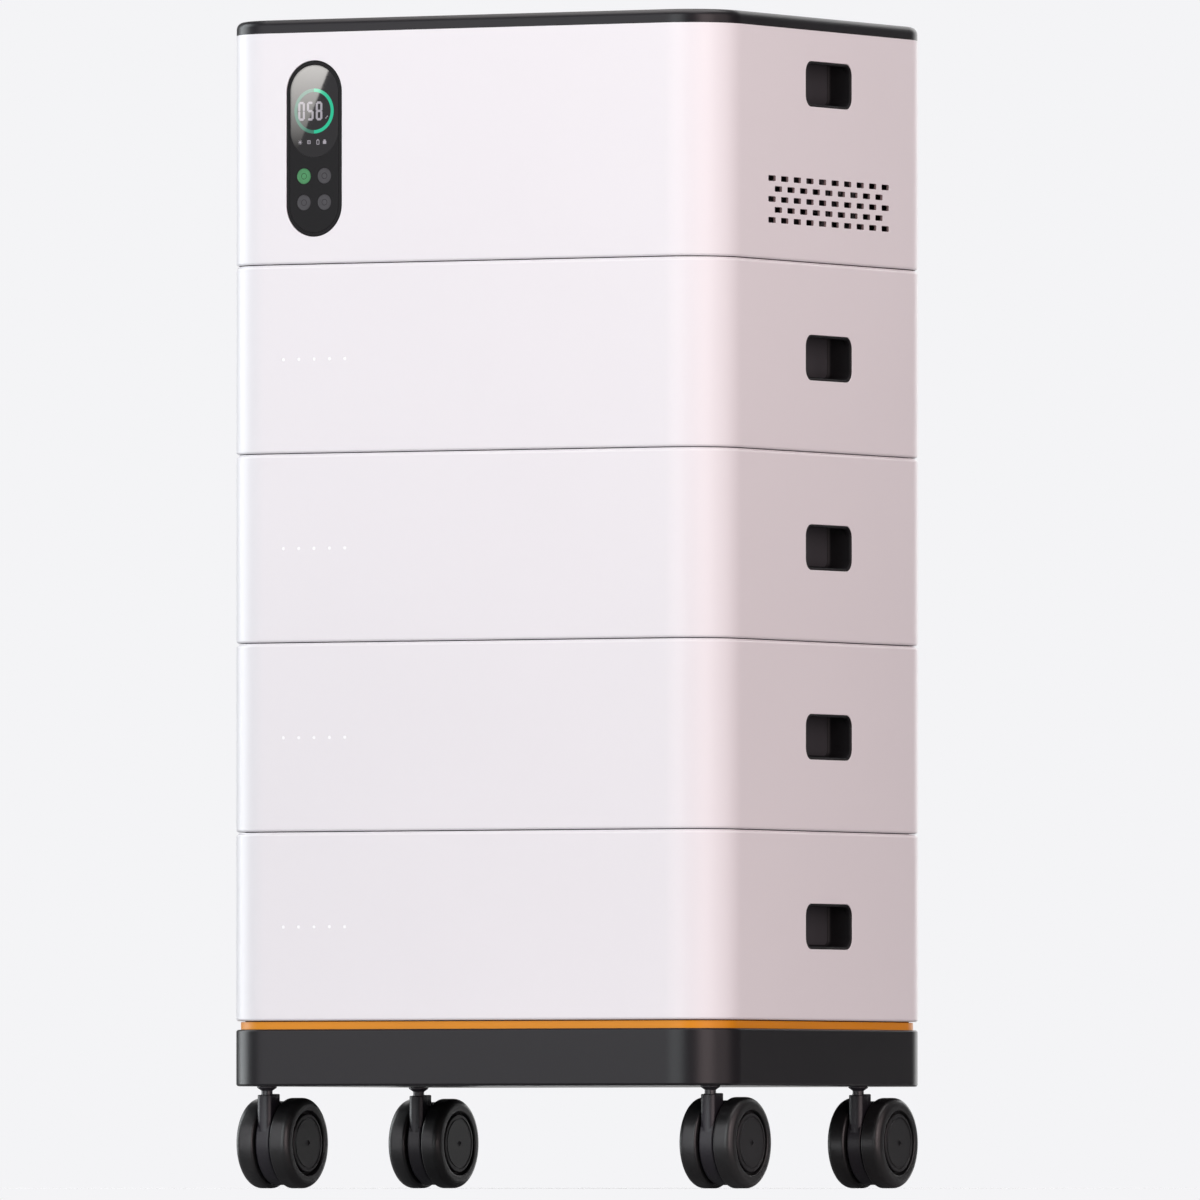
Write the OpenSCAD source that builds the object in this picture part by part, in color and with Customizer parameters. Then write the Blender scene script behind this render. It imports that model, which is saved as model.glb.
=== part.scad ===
// Free-standing home battery stack on twin-wheel casters.
// Origin: floor level, centre of the plan. +Z up, front faces -Y, right side is +X.

/* [Cabinet] */
// Width of every cabinet, left to right
body_w = 600; // [580:5:660]
// Depth of every cabinet, front to back
body_d = 500; // [480:5:560]
// Radius of the four vertical corners
corner_r = 60; // [50:1:70]
// Thickness of the cabinet walls and floors
wall = 3; // [2.5:0.5:4]
// Open seam between one cabinet and the next
seam_gap = 2; // [1:0.5:3]
// Gap all round a piece that drops into an opening
fit = 0.3; // [0.1:0.05:0.4]

/* [Battery modules] */
// Number of battery modules in the stack
module_count = 4; // [1:1:6]
// Height that each module adds to the stack
module_h = 200; // [190:1:240]
// Thickness of a module's lid
lid_t = 3; // [2:0.5:4]
// Thickness of one prismatic cell
cell_w = 54; // [40:1:56]
// Length of one prismatic cell, front to back
cell_l = 174; // [150:1:176]
// Height of one prismatic cell
cell_h = 154; // [110:1:158]
// Cells side by side in each of the two rows
cells_across = 8; // [4:1:8]

/* [Head unit] */
// Height of the inverter head, with its cap
head_h = 260; // [250:1:300]
// Height of the dark cap on top
cap_h = 14.5; // [12:0.5:20]
// Rounding of the cap's upper edge
cap_r = 8; // [4:0.5:10]

/* [Display] */
// Distance from the left side to the display's centre line
display_in = 119; // [100:1:150]
// Height of the display's centre above the head's lower seam
display_up = 122.6; // [112:0.2:130]
// Width of the black display panel
display_w = 66.6; // [64:0.2:72]
// Height of the black display panel
display_h = 186; // [182:1:192]
// Width of the screen window
screen_w = 58; // [50:1:58]
// Height of the screen window
screen_h = 98; // [80:1:98]
// Diameter of one round key
key_d = 16.6; // [14:0.2:18]
// Sideways spacing of the keys
key_dx = 24.8; // [22:0.2:27]
// Upright spacing of the keys
key_dz = 27.9; // [24:0.1:29]
// Distance that a key can be pressed
key_travel = 1.2; // [0.8:0.1:1.5]

/* [Status lights] */
// Number of status lights on each module
light_count = 5; // [3:1:5]
// Diameter of one status light
light_d = 4; // [3:0.5:6]
// Spacing of the status lights
light_pitch = 18.6; // [14:0.2:20]

/* [Hand grips] */
// Width of a grip pocket's mouth, front to back
grip_w = 103; // [90:1:120]
// Height of a grip pocket's mouth
grip_h = 47.4; // [40:0.2:56]
// Corner radius of a grip pocket
grip_r = 12; // [6:1:16]
// Depth of a grip pocket
grip_depth = 30; // [24:1:32]
// Height that the fingers can hook up behind the mouth
grip_hook = 14; // [8:1:18]
// Height of the head's grips above its lower seam
grip_up = 189; // [180:1:192]
// Shift of the grips and vents towards the back
side_shift = 5; // [0:1:15]

/* [Vents] */
// Rows of vent slots on each side of the head
vent_rows = 5; // [3:2:5]
// Slots in the longer rows
vent_slots = 10; // [8:1:10]
// Length of one slot
slot_w = 16.5; // [14:0.5:20]
// Height of one slot
slot_h = 5.8; // [4:0.2:7]
// Spacing of the slots along a row
slot_pitch = 28.2; // [26:0.2:30]
// Spacing of the rows
row_pitch = 11; // [9:0.5:12]
// Height of the middle row above the head's lower seam
vent_up = 64; // [60:1:66]

/* [Base] */
// Height of the plinth's underside above the floor
plinth_z = 108; // [107:1:114]
// Height of the dark plinth
plinth_h = 60; // [55:1:70]
// Height of the coloured band above the plinth
band_h = 8; // [6:0.5:12]
// Distance that the band is set back
band_in = 5; // [4.5:0.5:8]

/* [Casters] */
// Diameter of a caster wheel
wheel_d = 96; // [92:1:98]
// Width of one caster wheel
wheel_w = 22; // [18:0.5:24]
// Gap between the two wheels of a caster
wheel_gap = 20; // [19.5:0.5:22]
// Distance that the axle trails behind the swivel stem
trail = 33; // [30:1:36]
// Diameter of the swivel stem
stem_d = 12; // [10:0.5:13]
// Diameter of the wheel axle
axle_d = 8; // [6:0.5:10]
// Width of the caster body between the wheels
fork_w = 17; // [16:0.5:19]
// Distance from the cabinet's side to the stem
stem_in = 33; // [33:1:40]
// Distance from the cabinet's front or back to the axle
axle_in = 85; // [80:1:95]

/* [Connection bay] */
// Width of the bay in the back of the head
bay_w = 300; // [290:5:340]
// Height of the bay
bay_h = 110; // [100:1:116]
// Depth of the bay
bay_depth = 45; // [42:1:50]
// Diameter of the cable bore through a gland
gland_bore = 14; // [10:0.5:18]
// Number of cable glands
gland_count = 4; // [2:1:4]
// Diameter of the earth stud
stud_d = 8; // [6:1:10]

/* [Hidden] */
$fn = 48;

corners = ["front_left", "front_right", "back_left", "back_right"];
corner_signs = [[-1, -1], [1, -1], [-1, 1], [1, 1]];
sides = ["left", "right"];

// Heights
half_w = body_w / 2;
half_d = body_d / 2;
half_gap = seam_gap / 2;
front_y = -half_d;
plinth_top = plinth_z + plinth_h;
stack_z = plinth_top + band_h;
head_z = stack_z + module_count * module_h;
total_h = head_z + head_h;
cap_z = total_h - cap_h;
function seam_z(n) = stack_z + n * module_h;

// Clearances
run_fit = 0.05;       // round a pin that turns in its bore
press_fit = 0.01;     // round a pin that is pushed in for good
key_gap = 0.3;        // between a key's flange and the panel
flush_in = 0.2;       // how far flush pieces lie below the face they fill

// Base
tray_floor = 4;
plate_t = 5;
stem_over = 8;
plate_r = 26;
plate_screw_r = 19;
plate_screw_d = 5;
countersink = 2;
sink_d = plate_screw_d + 2 * countersink;
deck_t = 4;
deck_rim = 3;
rim_z = plinth_top - 3;
ledge_w = 13;
ledge_t = 3;
band_t = 3;
deck_in = band_in + band_t + fit;
deck_top = stack_z - half_gap;
bar_w = 40;
bar_t = 3;
bar_cross_y = 100;
stem_x = half_w - stem_in;
axle_y = half_d - axle_in;
bar_in = 52;
bar_x = stem_x - bar_in;
bar_half = axle_y + trail + plate_r;

// Casters
axle_z = wheel_d / 2;
fork_in = 3.5;
fork_d = wheel_d - 2 * fork_in;
boss_d = 20;
boss_up = 51;
boss_down = 8;
hood_up = 52;
bore_up = 17;
boss_top = axle_z + boss_up;
boss_low = axle_z + boss_down;
hood_top = axle_z + hood_up;
hood_l = 14;
bore_low = axle_z + bore_up;
flange_d = 21;
flange_t = 4.5;
hub_d = 20;
cap_recess_r = 34.5;
hubcap_r = 31;
hubcap_t = 5.4;
hubcap_ring_r = 25.5;
hubcap_ring_w = 2.5;
recess_t = 6;
shoulder_out = 8;
shoulder_in = 3;
axle_l = wheel_gap + 2 * (wheel_w - recess_t);

// Modules
ledge_in = 6;
lid_ledge_t = 2;
cell_gap = 1;
row_gap = 6;
pack_clear = 9;        // between the cells and the link plug behind them
terminal_h = 4;
terminal_d = 14;
terminal_out = 55;
bar_strip_t = 2;
bar_strip_w = 20;
board_t = 1.6;
light_l = 12;
board_w = 320;
board_h = 90;
board_x = corner_r - half_w + board_w / 2;
board_foot_in = 8;
board_foot_d = 8;
chip_x = 90;
chip_w = 80;
chip_h = 40;
chip_t = 10;
seal_in = 9.5;
seal_w = 8;
pin_d = 12;
pin_in = 36;
pin_up = 6;
link_in = 32;
link_y = half_d - link_in;
link_w = 90;
link_d = 24;
pack_y = link_y - link_d / 2 - pack_clear - row_gap / 2 - cell_l;
socket_h = 26;
socket_lip = 4;
socket_lip_t = 2;
slot_d = 14;
blade_w = 72;
blade_d = 10;
plug_h = 18;
tie_w = 44;
tie_h = 60;
tie_t = 1.5;
tie_x = 150;
tie_r = 4;
tie_screw_d = 4;
tie_head_d = 7.6;
tie_screw_l = 9;
tie_screw_dx = 13;
tie_screw_dz = 21;

// Grip pockets
grip_t = 2.5;
grip_flange = 6;
grip_flange_t = 2;

// Head
display_x = -half_w + display_in;
display_z = head_z + display_up;
bezel_t = 5;
bezel_lip = 4;
glass_t = 2;
glass_ledge = 1.5;
screen_z = display_z + display_h / 2 - screen_h / 2 - (display_w - screen_w) / 2;
keys_down = 43;
keys_z = display_z - keys_down;
key_lip = 1.5;
key_lip_t = 1.5;
key_stem_d = 5;
panel_board_y = 16;
panel_board_w = 72;
panel_board_h = 150;
post_d = 5;
post_x = 33;
post_z = 60;
screen_block_w = 48;
screen_block_h = 80;
cap_lip_h = 8;
fan_size = 60;
fan_depth = 25;
fan_bore = 57;
fan_pitch = 62;
hub_r = 13;
blade_r = 27;
blade_n = 7;
fan_pin_d = 3;
sink_x0 = -120;
sink_x1 = half_w - wall - fan_depth - 10;
sink_y0 = -140;
sink_y1 = 150;
sink_z = 99;
sink_base_t = 8;
fin_n = 24;
fin_t = 2.5;
fin_low = 24;
spacer_h = 6;
power_board_t = 2;
board_edge = 10;
choke_n = 3;
choke_in = 60;
choke_pitch = 90;
choke_d = 74;
choke_bore = 30;
choke_h = 32;
can_n = 6;
can_in = 40;
can_up = 60;
can_pitch = 50;
can_d = 35;
can_h = 50;

// Connection bay
bay_t = 2.5;
bay_r = 8;
bay_lip = 8;
bay_lip_t = 2;
bay_y = half_d - bay_depth;
bay_up = 40;
bay_z = head_z + bay_up + bay_h / 2;
gland_d = 25;
gland_pitch = 36;
gland_in = 30;
gland_x0 = gland_in - bay_w / 2;
gland_hex = 30;
gland_thread = 8;
gland_nut_t = 6;
gland_hex_t = 7;
gland_dome = 17;
gland_taper = 5;
gland_lip = 4;
breaker_w = 54;
breaker_h = 84;
breaker_x = 57;
breaker_front = bay_y + bay_t + 18;
breaker_back = bay_y - 19;
lever_w = 20;
lever_r = 8;
lever_reach = 24;
lever_tilt = 40;
lever_t = 6;
lever_side = 1;
lever_slot = 26;
lever_pin_d = 3.9;
stud_in = 30;
stud_x = bay_w / 2 - stud_in;
stud_free = 15.5;

// ---------- plain shapes ----------

// Cabinet outline, set in from the outside by inset
module plan(inset = 0) {
    r = corner_r - inset;
    w = body_w - 2 * inset;
    d = body_d - 2 * inset;
    square([w - 2 * r, d], center = true);
    square([w, d - 2 * r], center = true);
    for (x = [-1, 1], y = [-1, 1]) translate([x * (w / 2 - r), y * (d / 2 - r)]) circle(r);
}

// Cabinet outline raised from z0 to z1
module slab(inset, z0, z1) translate([0, 0, z0]) linear_extrude(z1 - z0) plan(inset);

// Band between two insets
module ring(inset, inner, z0, z1) difference() {
    slab(inset, z0, z1);
    slab(inner, z0 - 1, z1 + 1);
}

// Rectangle with round corners
module pad(w, h, r) {
    square([w - 2 * r, h], center = true);
    square([w, h - 2 * r], center = true);
    for (x = [-1, 1], y = [-1, 1]) translate([x * (w / 2 - r), y * (h / 2 - r)]) circle(r);
}

// Upright pill with full round ends
module pill(w, h) {
    square([w, h - w], center = true);
    for (y = [-1, 1]) translate([0, y * (h - w) / 2]) circle(d = w);
}

// Outline drawn in X-Z, filled from y0 to y1
module along_y(y0, y1) translate([0, y1, 0]) rotate([90, 0, 0]) linear_extrude(y1 - y0) children();

// Outline drawn in Y-Z, filled from x0 to x1
module along_x(x0, x1) translate([x0, 0, 0]) rotate([90, 0, 90]) linear_extrude(x1 - x0) children();

module both_sides() {
    children();
    mirror([1, 0, 0]) children();
}

module cylinder_x(x0, x1, d) translate([x0, 0, 0]) rotate([0, 90, 0]) cylinder(h = x1 - x0, d = d);

module cylinder_y(y0, y1, d) translate([0, y0, 0]) rotate([-90, 0, 0]) cylinder(h = y1 - y0, d = d);

// ---------- openings that several pieces share ----------

function grip_z(n) = n < module_count ? seam_z(n) + module_h / 2 : head_z + grip_up;

// Mouths of the two grips of unit n, counted from 0 at the bottom
module grip_mouths(n) both_sides() along_x(half_w - wall - 1, half_w + 1)
    translate([side_shift, grip_z(n)]) pad(grip_w + 2 * fit, grip_h + 2 * fit, grip_r + fit);

module pin_holes(z) for (s = corner_signs)
    translate([s[0] * (half_w - pin_in), s[1] * (half_d - pin_in), z - 1])
        cylinder(h = wall + 2, d = pin_d + 2 * fit);

module blade_slot(z) translate([-blade_w / 2 - fit, link_y - blade_d / 2 - fit, z - 1])
    cube([blade_w + 2 * fit, blade_d + 2 * fit, wall + 2]);

module socket_hole(z, t) translate([-link_w / 2 - fit, link_y - link_d / 2 - fit, z - 1])
    cube([link_w + 2 * fit, link_d + 2 * fit, t + 2]);

module tie_outline(grow) for (x = [-1, 1])
    translate([x * tie_x, 0]) pad(tie_w + grow, tie_h + grow, tie_r + grow / 2);

module tie_screw_spots(z) for (x = [-1, 1], dx = [-1, 1], dz = [-1, 1])
    translate([x * tie_x + dx * tie_screw_dx, half_d, z + dz * tie_screw_dz]) children();

// Shallow seat for the tie plates across seam n, with the screws' holes
module tie_seat(n) {
    along_y(half_d - tie_t - flush_in, half_d + 1) translate([0, seam_z(n)]) tie_outline(2 * fit);
    tie_screw_spots(seam_z(n)) cylinder_y(-wall - 1, 1, tie_screw_d + 2 * fit);
}

// ---------- base ----------

function caster_spot(c) = [corner_signs[c][0] * stem_x, corner_signs[c][1] * axle_y - trail, 0];

module base_tray() color("#2f2e33") difference() {
    union() {
        difference() {
            slab(0, plinth_z, plinth_top);
            slab(wall, plinth_z + tray_floor, plinth_top + 1);
        }
        ring(wall - 0.01, wall + ledge_w, rim_z - ledge_t, rim_z);
    }
    for (c = [0:3]) translate(caster_spot(c)) {
        translate([0, 0, plinth_z - 1]) cylinder(h = tray_floor + 2, d = stem_d + 2 * fit);
        plate_screw_spots() {
            translate([0, 0, plinth_z - 1]) cylinder(h = tray_floor + 2, d = plate_screw_d + 2 * fit);
            translate([0, 0, plinth_z - 0.01])
                cylinder(h = countersink, d1 = sink_d + 2 * fit, d2 = plate_screw_d + 2 * fit);
        }
    }
    tie_seat(0);
}

module plate_screw_spots() for (a = [45:90:315])
    rotate([0, 0, a]) translate([plate_screw_r, 0, 0]) children();

module bars(w, h, half_y, half_x) {
    for (x = [-1, 1]) translate([x * bar_x - w / 2, -half_y, 0]) cube([w, 2 * half_y, h]);
    for (y = [-1, 1]) translate([-half_x, y * bar_cross_y - w / 2, 0]) cube([2 * half_x, w, h]);
}

module base_frame() color("silver") {
    low = plinth_z + tray_floor + plate_t;
    high = deck_top - deck_t;
    difference() {
        translate([0, 0, low]) bars(bar_w, high - low, bar_half, bar_x);
        translate([0, 0, low - 1]) bars(bar_w - 2 * bar_t, high - low - bar_t + 1, bar_half - bar_t, bar_x);
    }
}

module base_deck() color("#55545a") difference() {
    slab(deck_in, rim_z, deck_top);
    slab(deck_in + deck_rim, rim_z - 1, deck_top - deck_t);
    socket_hole(deck_top - deck_t, deck_t);
}

module accent_band() color("#e6942c") ring(band_in, band_in + band_t, rim_z, stack_z);

module caster_plates() color("silver") for (c = [0:3]) {
    s = corner_signs[c][0];
    translate(caster_spot(c) + [0, 0, plinth_z + tray_floor]) difference() {
        linear_extrude(plate_t) {
            circle(plate_r);
            translate([s > 0 ? -(stem_x - bar_x) - bar_w / 2 : 0, -plate_r])
                square([stem_x - bar_x + bar_w / 2, 2 * plate_r]);
        }
        translate([0, 0, -1]) cylinder(h = plate_t + 2, d = stem_d + 2 * press_fit);
        plate_screw_spots() translate([0, 0, -1])
            cylinder(h = plate_t + 2, d = plate_screw_d + 2 * press_fit);
    }
}

module plate_screws() color("dimgray") for (c = [0:3]) translate(caster_spot(c)) plate_screw_spots() {
    translate([0, 0, plinth_z + flush_in]) cylinder(h = tray_floor + plate_t + 3, d = plate_screw_d);
    translate([0, 0, plinth_z + flush_in])
        cylinder(h = countersink - flush_in, d1 = sink_d - 2 * flush_in, d2 = plate_screw_d);
}

// Fixed steel stem: thread through the plinth, cone flange below it, pin down into the caster
module caster_stems() color("#3b3a3f") for (c = [0:3]) translate(caster_spot(c)) {
    translate([0, 0, bore_low + key_gap])
        cylinder(h = plinth_z + tray_floor + plate_t + stem_over - bore_low, d = stem_d);
    translate([0, 0, plinth_z - flange_t]) cylinder(h = flange_t - 1.5, d1 = stem_d, d2 = flange_d);
    translate([0, 0, plinth_z - 1.5]) cylinder(h = 1.5, d = flange_d);
}

module caster_body(c) color("#232227") translate(caster_spot(c)) difference() {
    union() {
        translate([0, trail, axle_z]) cylinder_x(-fork_w / 2, fork_w / 2, fork_d);
        intersection() {
            translate([0, 0, boss_low]) cylinder(h = boss_top - boss_low, d = boss_d);
            translate([-fork_w / 2, -boss_d, boss_low]) cube([fork_w, 2 * boss_d, boss_top]);
        }
        translate([-fork_w / 2, 0, axle_z]) cube([fork_w, hood_l, hood_top - axle_z]);
    }
    translate([0, 0, bore_low]) cylinder(h = wheel_d, d = stem_d + 2 * run_fit);
    translate([0, trail, axle_z]) cylinder_x(-fork_w, fork_w, axle_d + 2 * press_fit);
}

module axle(c) color("silver") translate(caster_spot(c) + [0, trail, axle_z])
    cylinder_x(-axle_l / 2, axle_l / 2, axle_d);

// Quarter of a square outside a circle, for rounding a corner at the origin
module round_off(r) translate([-r, -r]) difference() {
    square(r + 0.01);
    circle(r);
}

// Half section of a wheel: radius along X, width along Y from the inner face outwards
module wheel_section() difference() {
    union() {
        square([wheel_d / 2, wheel_w]);
        translate([0, -(wheel_gap - fork_w) / 2 + fit]) square([hub_d / 2, wheel_w / 2]);
    }
    translate([0, -wheel_w]) square([axle_d / 2 + run_fit, 3 * wheel_w]);
    translate([0, wheel_w - recess_t]) square([cap_recess_r, recess_t + 1]);
    translate([hub_d / 2 + 3, -1]) square([25, 8]);
    translate([wheel_d / 2, wheel_w]) round_off(shoulder_out);
    translate([wheel_d / 2, 0]) mirror([0, 1]) round_off(shoulder_in);
}

// Half section of the hub cap, seated on the recess floor
module hubcap_section() difference() {
    translate([0, wheel_w - recess_t]) square([hubcap_r, hubcap_t]);
    translate([hubcap_ring_r, wheel_w - recess_t + hubcap_t - 0.6]) square([hubcap_ring_w, 1]);
    translate([hubcap_r, wheel_w - recess_t + hubcap_t]) round_off(1);
    translate([-1, wheel_w - recess_t + hubcap_t - 0.5]) square([3, 1]);
}

module wheel(c, s) color("#1d1d20") translate(caster_spot(c) + [0, trail, axle_z])
    mirror([s == 0 ? 1 : 0, 0, 0]) translate([wheel_gap / 2, 0, 0]) rotate([0, 90, 0]) {
        rotate_extrude() wheel_section();
        rotate_extrude() hubcap_section();
    }

// ---------- battery modules ----------

module module_case(n) color("#eeecf0") {
    low = seam_z(n - 1) + half_gap;
    high = seam_z(n) - half_gap;
    difference() {
        slab(0, low, high);
        slab(wall, low + wall, high - lid_t - lid_ledge_t);
        slab(wall + ledge_in, high - lid_t - lid_ledge_t - 1, high);
        slab(wall, high - lid_t, high + 1);
        grip_mouths(n - 1);
        light_spots(n - 1) cylinder_y(-1, wall + 1, light_d + 2 * run_fit);
        pin_holes(low);
        blade_slot(low);
        tie_seat(n - 1);
        tie_seat(n);
    }
}

module light_spots(n) for (i = [0:light_count - 1])
    translate([display_x + (i - (light_count - 1) / 2) * light_pitch, front_y, seam_z(n) + module_h / 2])
        children();

module module_lids() color("#c9c8cd") for (n = [1:module_count]) {
    high = seam_z(n) - half_gap;
    difference() {
        slab(wall + fit, high - lid_t, high);
        socket_hole(high - lid_t, lid_t);
    }
}

module cell_spots() for (n = [0:module_count - 1], row = [-1, 1], i = [0:cells_across - 1])
    translate([
        (i - (cells_across - 1) / 2) * (cell_w + cell_gap),
        pack_y + row * (cell_l + row_gap) / 2,
        seam_z(n) + half_gap + wall
    ]) children();

module battery_cells() color("#3f6fa8") cell_spots() {
    translate([-cell_w / 2, -cell_l / 2, 0]) cube([cell_w, cell_l, cell_h]);
    for (y = [-1, 1]) translate([0, y * terminal_out, cell_h]) cylinder(h = terminal_h, d = terminal_d);
}

// Straps that join each cell to the next, on alternate sides, along both rows
module cell_busbars() color("#b87333") for (n = [0:module_count - 1], row = [-1, 1], i = [0:cells_across - 2])
    translate([
        (i - (cells_across - 1) / 2) * (cell_w + cell_gap) - bar_strip_w / 2,
        pack_y + row * (cell_l + row_gap) / 2 + (i % 2 == 0 ? 1 : -1) * terminal_out - bar_strip_w / 2,
        seam_z(n) + half_gap + wall + cell_h + terminal_h
    ]) cube([cell_w + cell_gap + bar_strip_w, bar_strip_w, bar_strip_t]);

// Battery management board behind the lights, on spacers from the front wall
module battery_boards() color("#1f6b4a") for (n = [0:module_count - 1])
    translate([board_x, front_y + light_l, seam_z(n) + module_h / 2]) {
        along_y(0, board_t) square([board_w, board_h], center = true);
        for (x = [-1, 1], z = [-1, 1])
            translate([x * (board_w / 2 - board_foot_in), 0, z * (board_h / 2 - board_foot_in)])
                cylinder_y(wall - light_l, 0.5, board_foot_d);
        for (x = [-1, 1]) translate([x * chip_x - chip_w / 2, board_t, -chip_h / 2])
            cube([chip_w, chip_t, chip_h]);
    }

module link_sockets() color("#202024") for (n = [0:module_count]) {
    high = seam_z(n) - half_gap;
    plate = n == 0 ? deck_t : lid_t;
    difference() {
        translate([0, link_y, 0]) {
            translate([-link_w / 2, -link_d / 2, high - socket_h]) cube([link_w, link_d, socket_h]);
            translate([-link_w / 2 - socket_lip, -link_d / 2 - socket_lip, high - plate - socket_lip_t])
                cube([link_w + 2 * socket_lip, link_d + 2 * socket_lip, socket_lip_t]);
        }
        translate([-blade_w / 2 - fit, link_y - blade_d / 2 - fit, high - slot_d])
            cube([blade_w + 2 * fit, blade_d + 2 * fit, slot_d + 1]);
    }
}

module link_plugs() color("#202024") for (n = [0:module_count]) {
    low = seam_z(n) + half_gap + wall;
    translate([0, link_y, 0]) {
        translate([-link_w / 2, -link_d / 2, low]) cube([link_w, link_d, plug_h]);
        translate([-blade_w / 2, -blade_d / 2, seam_z(n) - half_gap - slot_d + 2])
            cube([blade_w, blade_d, low - seam_z(n) + half_gap + slot_d]);
    }
}

module stack_pins() color("silver") for (n = [0:module_count], s = corner_signs)
    translate([s[0] * (half_w - pin_in), s[1] * (half_d - pin_in), seam_z(n) - half_gap]) {
        cylinder(h = seam_gap + wall, d = pin_d);
        translate([0, 0, seam_gap + wall]) cylinder(h = pin_up, d1 = pin_d, d2 = pin_d - 5);
    }

module seam_seals() color("#141416") for (n = [0:module_count])
    ring(seal_in, seal_in + seal_w, seam_z(n) - half_gap, seam_z(n) + half_gap);

// Clear light pipes from the board to the front face
module status_lights() color("white") for (n = [0:module_count - 1]) light_spots(n) {
    cylinder_y(flush_in / 2, light_l, light_d);
    cylinder_y(wall, wall + 1.5, light_d + 2);
}

module tie_plates() color("#d8d6da") for (n = [0:module_count]) difference() {
    along_y(half_d - tie_t - flush_in, half_d - flush_in) translate([0, seam_z(n)]) tie_outline(0);
    tie_screw_spots(seam_z(n)) translate([0, -tie_t - flush_in, 0]) {
        cylinder_y(-1, tie_t + 1, tie_screw_d + 2 * fit);
        rotate([-90, 0, 0]) cylinder(h = tie_t, d1 = tie_screw_d + 2 * fit, d2 = tie_head_d + 2 * fit);
    }
}

module tie_screws() color("dimgray") for (n = [0:module_count])
    tie_screw_spots(seam_z(n)) translate([0, -tie_t - flush_in, 0]) {
        rotate([-90, 0, 0]) cylinder(h = tie_t, d1 = tie_screw_d, d2 = tie_head_d);
        cylinder_y(tie_t - tie_screw_l, 0.5, tie_screw_d);
    }

// Pocket moulding: mouth through the side wall, flange behind it, finger hook above
module grip_cups() color("#121214") for (n = [0:module_count]) both_sides() {
    back = half_w - grip_depth;
    lip = half_w - wall;
    difference() {
        union() {
            along_x(back, half_w - flush_in) translate([side_shift, grip_z(n)]) pad(grip_w, grip_h, grip_r);
            along_x(lip - grip_flange_t, lip) translate([side_shift, grip_z(n)])
                pad(grip_w + 2 * grip_flange, grip_h + 2 * grip_flange, grip_r + grip_flange);
            along_x(back, lip) translate([side_shift, grip_z(n) + grip_hook / 2])
                pad(grip_w, grip_h + grip_hook, grip_r);
        }
        along_x(back + grip_t, half_w + 1) translate([side_shift, grip_z(n)])
            pad(grip_w - 2 * grip_t, grip_h - 2 * grip_t, grip_r - grip_t);
        along_x(back + grip_t, lip - grip_t) translate([side_shift, grip_z(n) + grip_hook / 2])
            pad(grip_w - 2 * grip_t, grip_h + grip_hook - 2 * grip_t, grip_r - grip_t);
    }
}

// ---------- head unit ----------

module vent_outline() for (row = [0:vent_rows - 1]) {
    n = vent_slots - row % 2;
    for (i = [0:n - 1]) translate([
        side_shift + (i - (n - 1) / 2) * slot_pitch,
        head_z + vent_up + (row - (vent_rows - 1) / 2) * row_pitch
    ]) pad(slot_w, slot_h, 1.2);
}

module head_case() color("#eeecf0") {
    low = head_z + half_gap;
    difference() {
        slab(0, low, cap_z);
        slab(wall, low + wall, cap_z + 1);
        grip_mouths(module_count);
        along_y(front_y - 1, front_y + wall + 1) translate([display_x, display_z])
            pill(display_w + 2 * fit, display_h + 2 * fit);
        both_sides() along_x(half_w - wall - 1, half_w + 1) vent_outline();
        along_y(half_d - wall - 1, half_d + 1) translate([0, bay_z])
            pad(bay_w + 2 * fit, bay_h + 2 * fit, bay_r + fit);
        pin_holes(low);
        blade_slot(low);
        tie_seat(module_count);
    }
}

// Half section of the cap's edge: depth inwards from the corner's centre, height from 0
module cap_edge(reach) difference() {
    square([reach, cap_h]);
    translate([reach, cap_h]) round_off(cap_r);
}

module top_cap() color("#3a393e") difference() {
    union() {
        translate([0, 0, cap_z]) {
            for (s = corner_signs) translate([s[0] * (half_w - corner_r), s[1] * (half_d - corner_r), 0])
                rotate_extrude() cap_edge(corner_r);
            for (s = [0, 1]) mirror([s, 0, 0]) translate([0, half_d - corner_r, 0]) rotate([90, 0, 0])
                linear_extrude(body_d - 2 * corner_r) cap_edge(half_w);
            for (s = [0, 1]) mirror([0, s, 0]) translate([-half_w + corner_r, 0, 0]) rotate([90, 0, 90])
                linear_extrude(body_w - 2 * corner_r) cap_edge(half_d);
        }
        ring(wall + fit, 2 * wall + fit, cap_z - cap_lip_h, cap_z + 1);
    }
    slab(2 * wall + fit, cap_z - 1, total_h - wall - 1);
}

module key_spots() for (k = [1:4]) at_key(k) children();

// Keys 1 and 2 are the upper pair, left first
module at_key(k) translate([
    display_x + (k % 2 == 1 ? -1 : 1) * key_dx / 2,
    front_y,
    keys_z + (k <= 2 ? 1 : -1) * key_dz / 2
]) children();

module display_bezel() color("#1a1a1d") difference() {
    union() {
        along_y(front_y + flush_in, front_y + bezel_t) translate([display_x, display_z])
            pill(display_w, display_h);
        along_y(front_y + wall, front_y + bezel_t) translate([display_x, display_z])
            pill(display_w + 2 * bezel_lip, display_h + 2 * bezel_lip);
        for (x = [-1, 1], z = [-1, 1]) translate([display_x + x * post_x, front_y, display_z + z * post_z])
            cylinder_y(wall + 0.5, panel_board_y, post_d);
    }
    along_y(front_y - 1, front_y + flush_in + glass_t) translate([display_x, screen_z])
        pill(screen_w + 2 * run_fit, screen_h + 2 * run_fit);
    along_y(front_y - 1, front_y + bezel_t + 1) translate([display_x, screen_z])
        pill(screen_w - 2 * glass_ledge, screen_h - 2 * glass_ledge);
    key_spots() cylinder_y(-1, bezel_t + 1, key_d + 2 * key_gap / 2);
}

module display_glass() color("#0c0d10") along_y(front_y + flush_in, front_y + flush_in + glass_t)
    translate([display_x, screen_z]) pill(screen_w, screen_h);

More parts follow.
